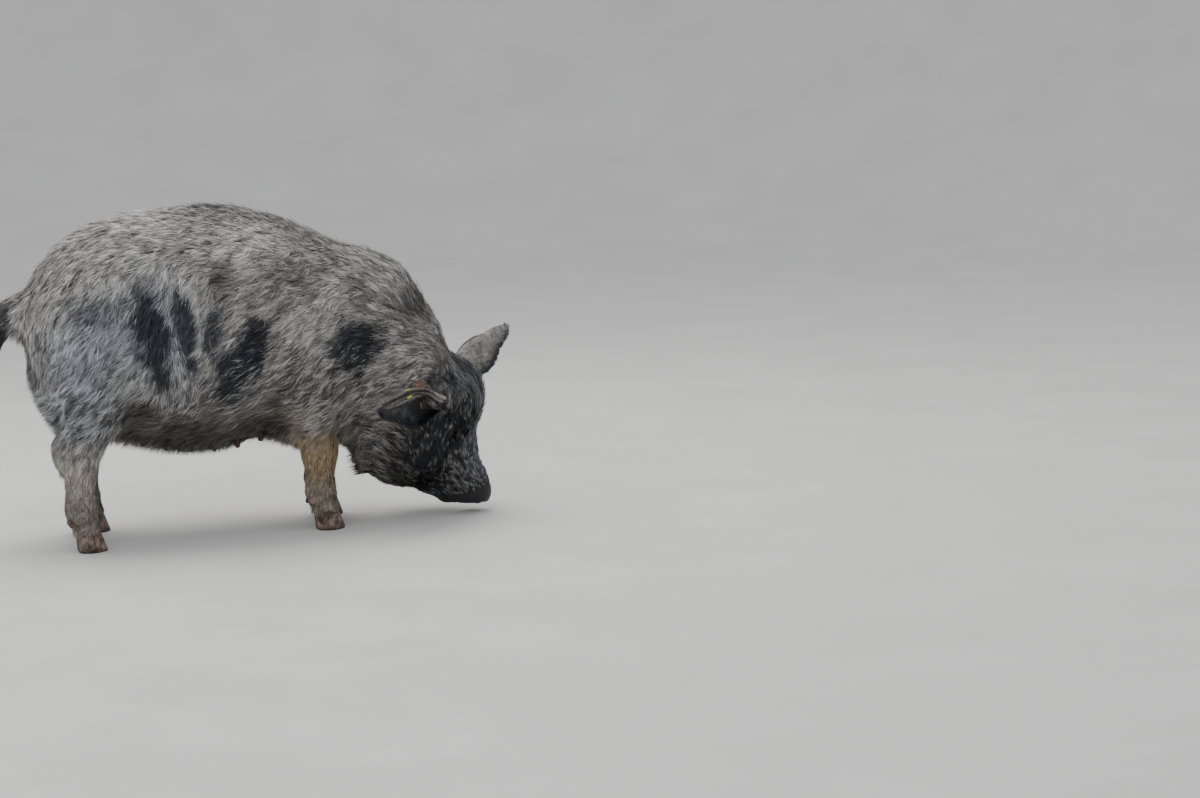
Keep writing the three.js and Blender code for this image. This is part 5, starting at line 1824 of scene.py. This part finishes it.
def loft(rings):
    around = len(rings[0])
    points = [p for ring in rings for p in ring]
    faces = []
    for i in range(len(rings) - 1):
        for j in range(around):
            a = i * around + j
            b = i * around + (j + 1) % around
            faces.append([a, b, b + around, a + around])
    faces.append(list(range(around))[::-1])
    faces.append([len(points) - around + j for j in range(around)])
    return np.array(points, float), faces


def outward_faces(points, faces):
    """Turns faces so that a closed piece faces out."""
    volume = 0.0
    for face in faces:
        for k in range(1, len(face) - 1):
            volume += points[face[0]] @ np.cross(points[face[k]], points[face[k + 1]])
    return faces if volume > 0 else [face[::-1] for face in faces]


def build_claws(material):
    for fore_foot, side_name, side, foot in feet():
        kind = "foreleg" if fore_foot else "hindleg"
        for which, outside in (("outer", side), ("inner", -side)):
            levels = [0, 0.03, 0.1, 0.25, 0.4, 0.55, 0.7, 0.85, 1.0, 1.15]
            points, faces = loft(claw_rings(foot, outside, levels, 30))
            faces = outward_faces(points, faces)
            piece = make_object(f"hoof_{kind}_{side_name}_{which}", points, faces)
            growth = np.column_stack([points[:, 2] / (CLAW_HEIGHT * 1.1), points[:, 0] * 0, points[:, 0] * 0])
            set_vectors(piece, "growth", growth)
            finish_horn(piece, material, f"claw_{kind}_{side_name}_{which}")
            points, faces = spur_mesh(foot, outside)
            piece = make_object(f"spur_{kind}_{side_name}_{which}", points, outward_faces(points, faces))
            set_vectors(piece, "growth", np.column_stack([np.full(len(points), 0.5)] * 3))
            finish_horn(piece, material, f"dewclaw_{kind}_{side_name}_{which}")


def spur_mesh(foot, outside):
    root = foot + vec(-14, outside * 13, 80)
    tip = foot + vec(-37, outside * 17, 52)
    axis = unit(tip - root)
    u = unit(np.cross(axis, vec(0, 1, 0)))
    w = np.cross(axis, u)
    turns = [2 * math.pi * j / 18 for j in range(18)]
    rings = []
    for share, radius in ((0, 9.5), (0.25, 10), (0.5, 9.6), (0.72, 7.8), (0.88, 5.2), (0.97, 2.6)):
        centre = root + (tip - root) * share
        rings.append([centre + radius * (u * math.cos(turn) + 0.8 * w * math.sin(turn)) for turn in turns])
    return loft(rings)


def finish_horn(piece, material, node):
    piece.data.materials.append(material)
    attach(piece, "root")
    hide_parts(node)


# Ear tag: a pin through the right ear with a round button on each face

# Its outline from the ear's open side to its back: places along the pin, and the radius there
TAG_PROFILE = [
    (-7, 1.0), (-7, 4.6), (-6.6, 5.5), (-5.6, 6), (-4.6, 6), (-4.1, 5.4), (-4, 3.2), (-3.6, 2.6), (3.6, 2.6),
    (4, 3.2), (4.1, 11.3), (4.6, 12), (5.6, 12), (6.5, 11.5), (7, 10.4), (7, 4.4), (6.2, 3.6), (6.2, 1.0),
]


def build_tag(material):
    point, back = ear_points(EARS[RIGHT], vec(TAG_PLACE[0]), vec(TAG_PLACE[1]))
    point, back = point[0], back[0]
    u = unit(np.cross(back, vec(0, 0, 1)))
    w = np.cross(back, u)
    turns = [2 * math.pi * j / 32 for j in range(32)]
    rings = [[point + back * along + radius * (u * math.cos(turn) + w * math.sin(turn)) for turn in turns]
             for along, radius in TAG_PROFILE]
    points, faces = loft(rings)
    tag = make_object("tag_button", points, outward_faces(points, faces))
    tag.data.materials.append(material)
    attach(tag, "root")
    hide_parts("ear_tag")


# Floor, lights and camera

def build_stage():
    """A wide round floor that curves up gently into a wall, the same from every side."""
    flat, curve, steps, around = 6600, 3400, 20, 96
    profile = [(flat + curve * math.sin(t), curve * (1 - math.cos(t)))
               for t in (math.pi / 2 * i / steps for i in range(steps + 1))]
    points = [(0, 0, 0)]
    for radius, height in profile:
        for j in range(around):
            turn = 2 * math.pi * j / around
            points.append((radius * math.cos(turn), radius * math.sin(turn), height))
    stage = make_object("floor", np.array(points, float), dome_faces(len(profile), around))
    stage.data.materials.append(floor_material())


def area_light(name, location, target, size, power, colour):
    light = bpy.data.lights.new(name, "AREA")
    light.shape = "DISK"
    light.size = size
    light.energy = power
    light.color = colour
    obj = add_object(name, light)
    obj.location = location
    obj.rotation_euler = (Vector(target) - Vector(location)).to_track_quat("-Z", "Y").to_euler()


def build_lights():
    world = bpy.data.worlds.new("studio")
    world.use_nodes = True
    background = world.node_tree.nodes["Background"]
    background.inputs[0].default_value = (0.94, 0.96, 1.0, 1)
    background.inputs[1].default_value = 0.85
    bpy.context.scene.world = world
    area_light("light_above", (-0.2, 0.9, 3.4), (0, 0, 0.4), 3.0, 95, (1.0, 0.99, 0.97))
    area_light("light_camera_side", (-1.6, -3.4, 2.6), (0, 0, 0.3), 2.6, 45, (0.97, 0.98, 1.0))


def build_camera():
    camera = bpy.data.cameras.new("camera")
    camera.lens = CAMERA_LENS
    camera.sensor_width = 36
    camera.sensor_fit = "HORIZONTAL"
    camera.clip_start = 0.1
    camera.clip_end = 60
    obj = add_object("camera", camera)
    flat_ahead = vec(math.sin(CAMERA_YAW), math.cos(CAMERA_YAW), 0)
    right = vec(math.cos(CAMERA_YAW), -math.sin(CAMERA_YAW), 0)
    ahead = flat_ahead * math.cos(CAMERA_PITCH) - vec(0, 0, 1) * math.sin(CAMERA_PITCH)
    up = flat_ahead * math.sin(CAMERA_PITCH) + vec(0, 0, 1) * math.cos(CAMERA_PITCH)
    c, s = math.cos(CAMERA_ROLL), math.sin(CAMERA_ROLL)
    rolled_right = right * c + up * s
    rolled_up = up * c - right * s
    matrix = Matrix.Identity(4)
    spot = to_world(vec(*CAMERA_PLACE))
    for row in range(3):
        matrix[row][0] = rolled_right[row]
        matrix[row][1] = rolled_up[row]
        matrix[row][2] = -ahead[row]
        matrix[row][3] = spot[row]
    obj.matrix_world = matrix
    bpy.context.scene.camera = obj


FLESH_NODES = ["torso", "neck", "head", "snout_disc", "ear_left", "ear_right", "tail",
               "foreleg_left", "foreleg_right", "hindleg_left", "hindleg_right"]

build_camera()
build_lights()
build_stage()
coat = coat_material()
skin, skin_surface = build_skin(skin_material())
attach(skin, "root")
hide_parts(*FLESH_NODES)
build_trunk_coat(skin_surface, coat)
build_face_coat(skin_surface, coat)
build_leg_coat(skin_surface, coat)
build_tail_coat(skin_surface, coat)
build_ear_coats(coat)
eye_surface = eye_material()
build_eye("right", RIGHT, eye_surface)
build_eye("left", LEFT, eye_surface)
build_claws(horn_material())
build_tag(tag_material())
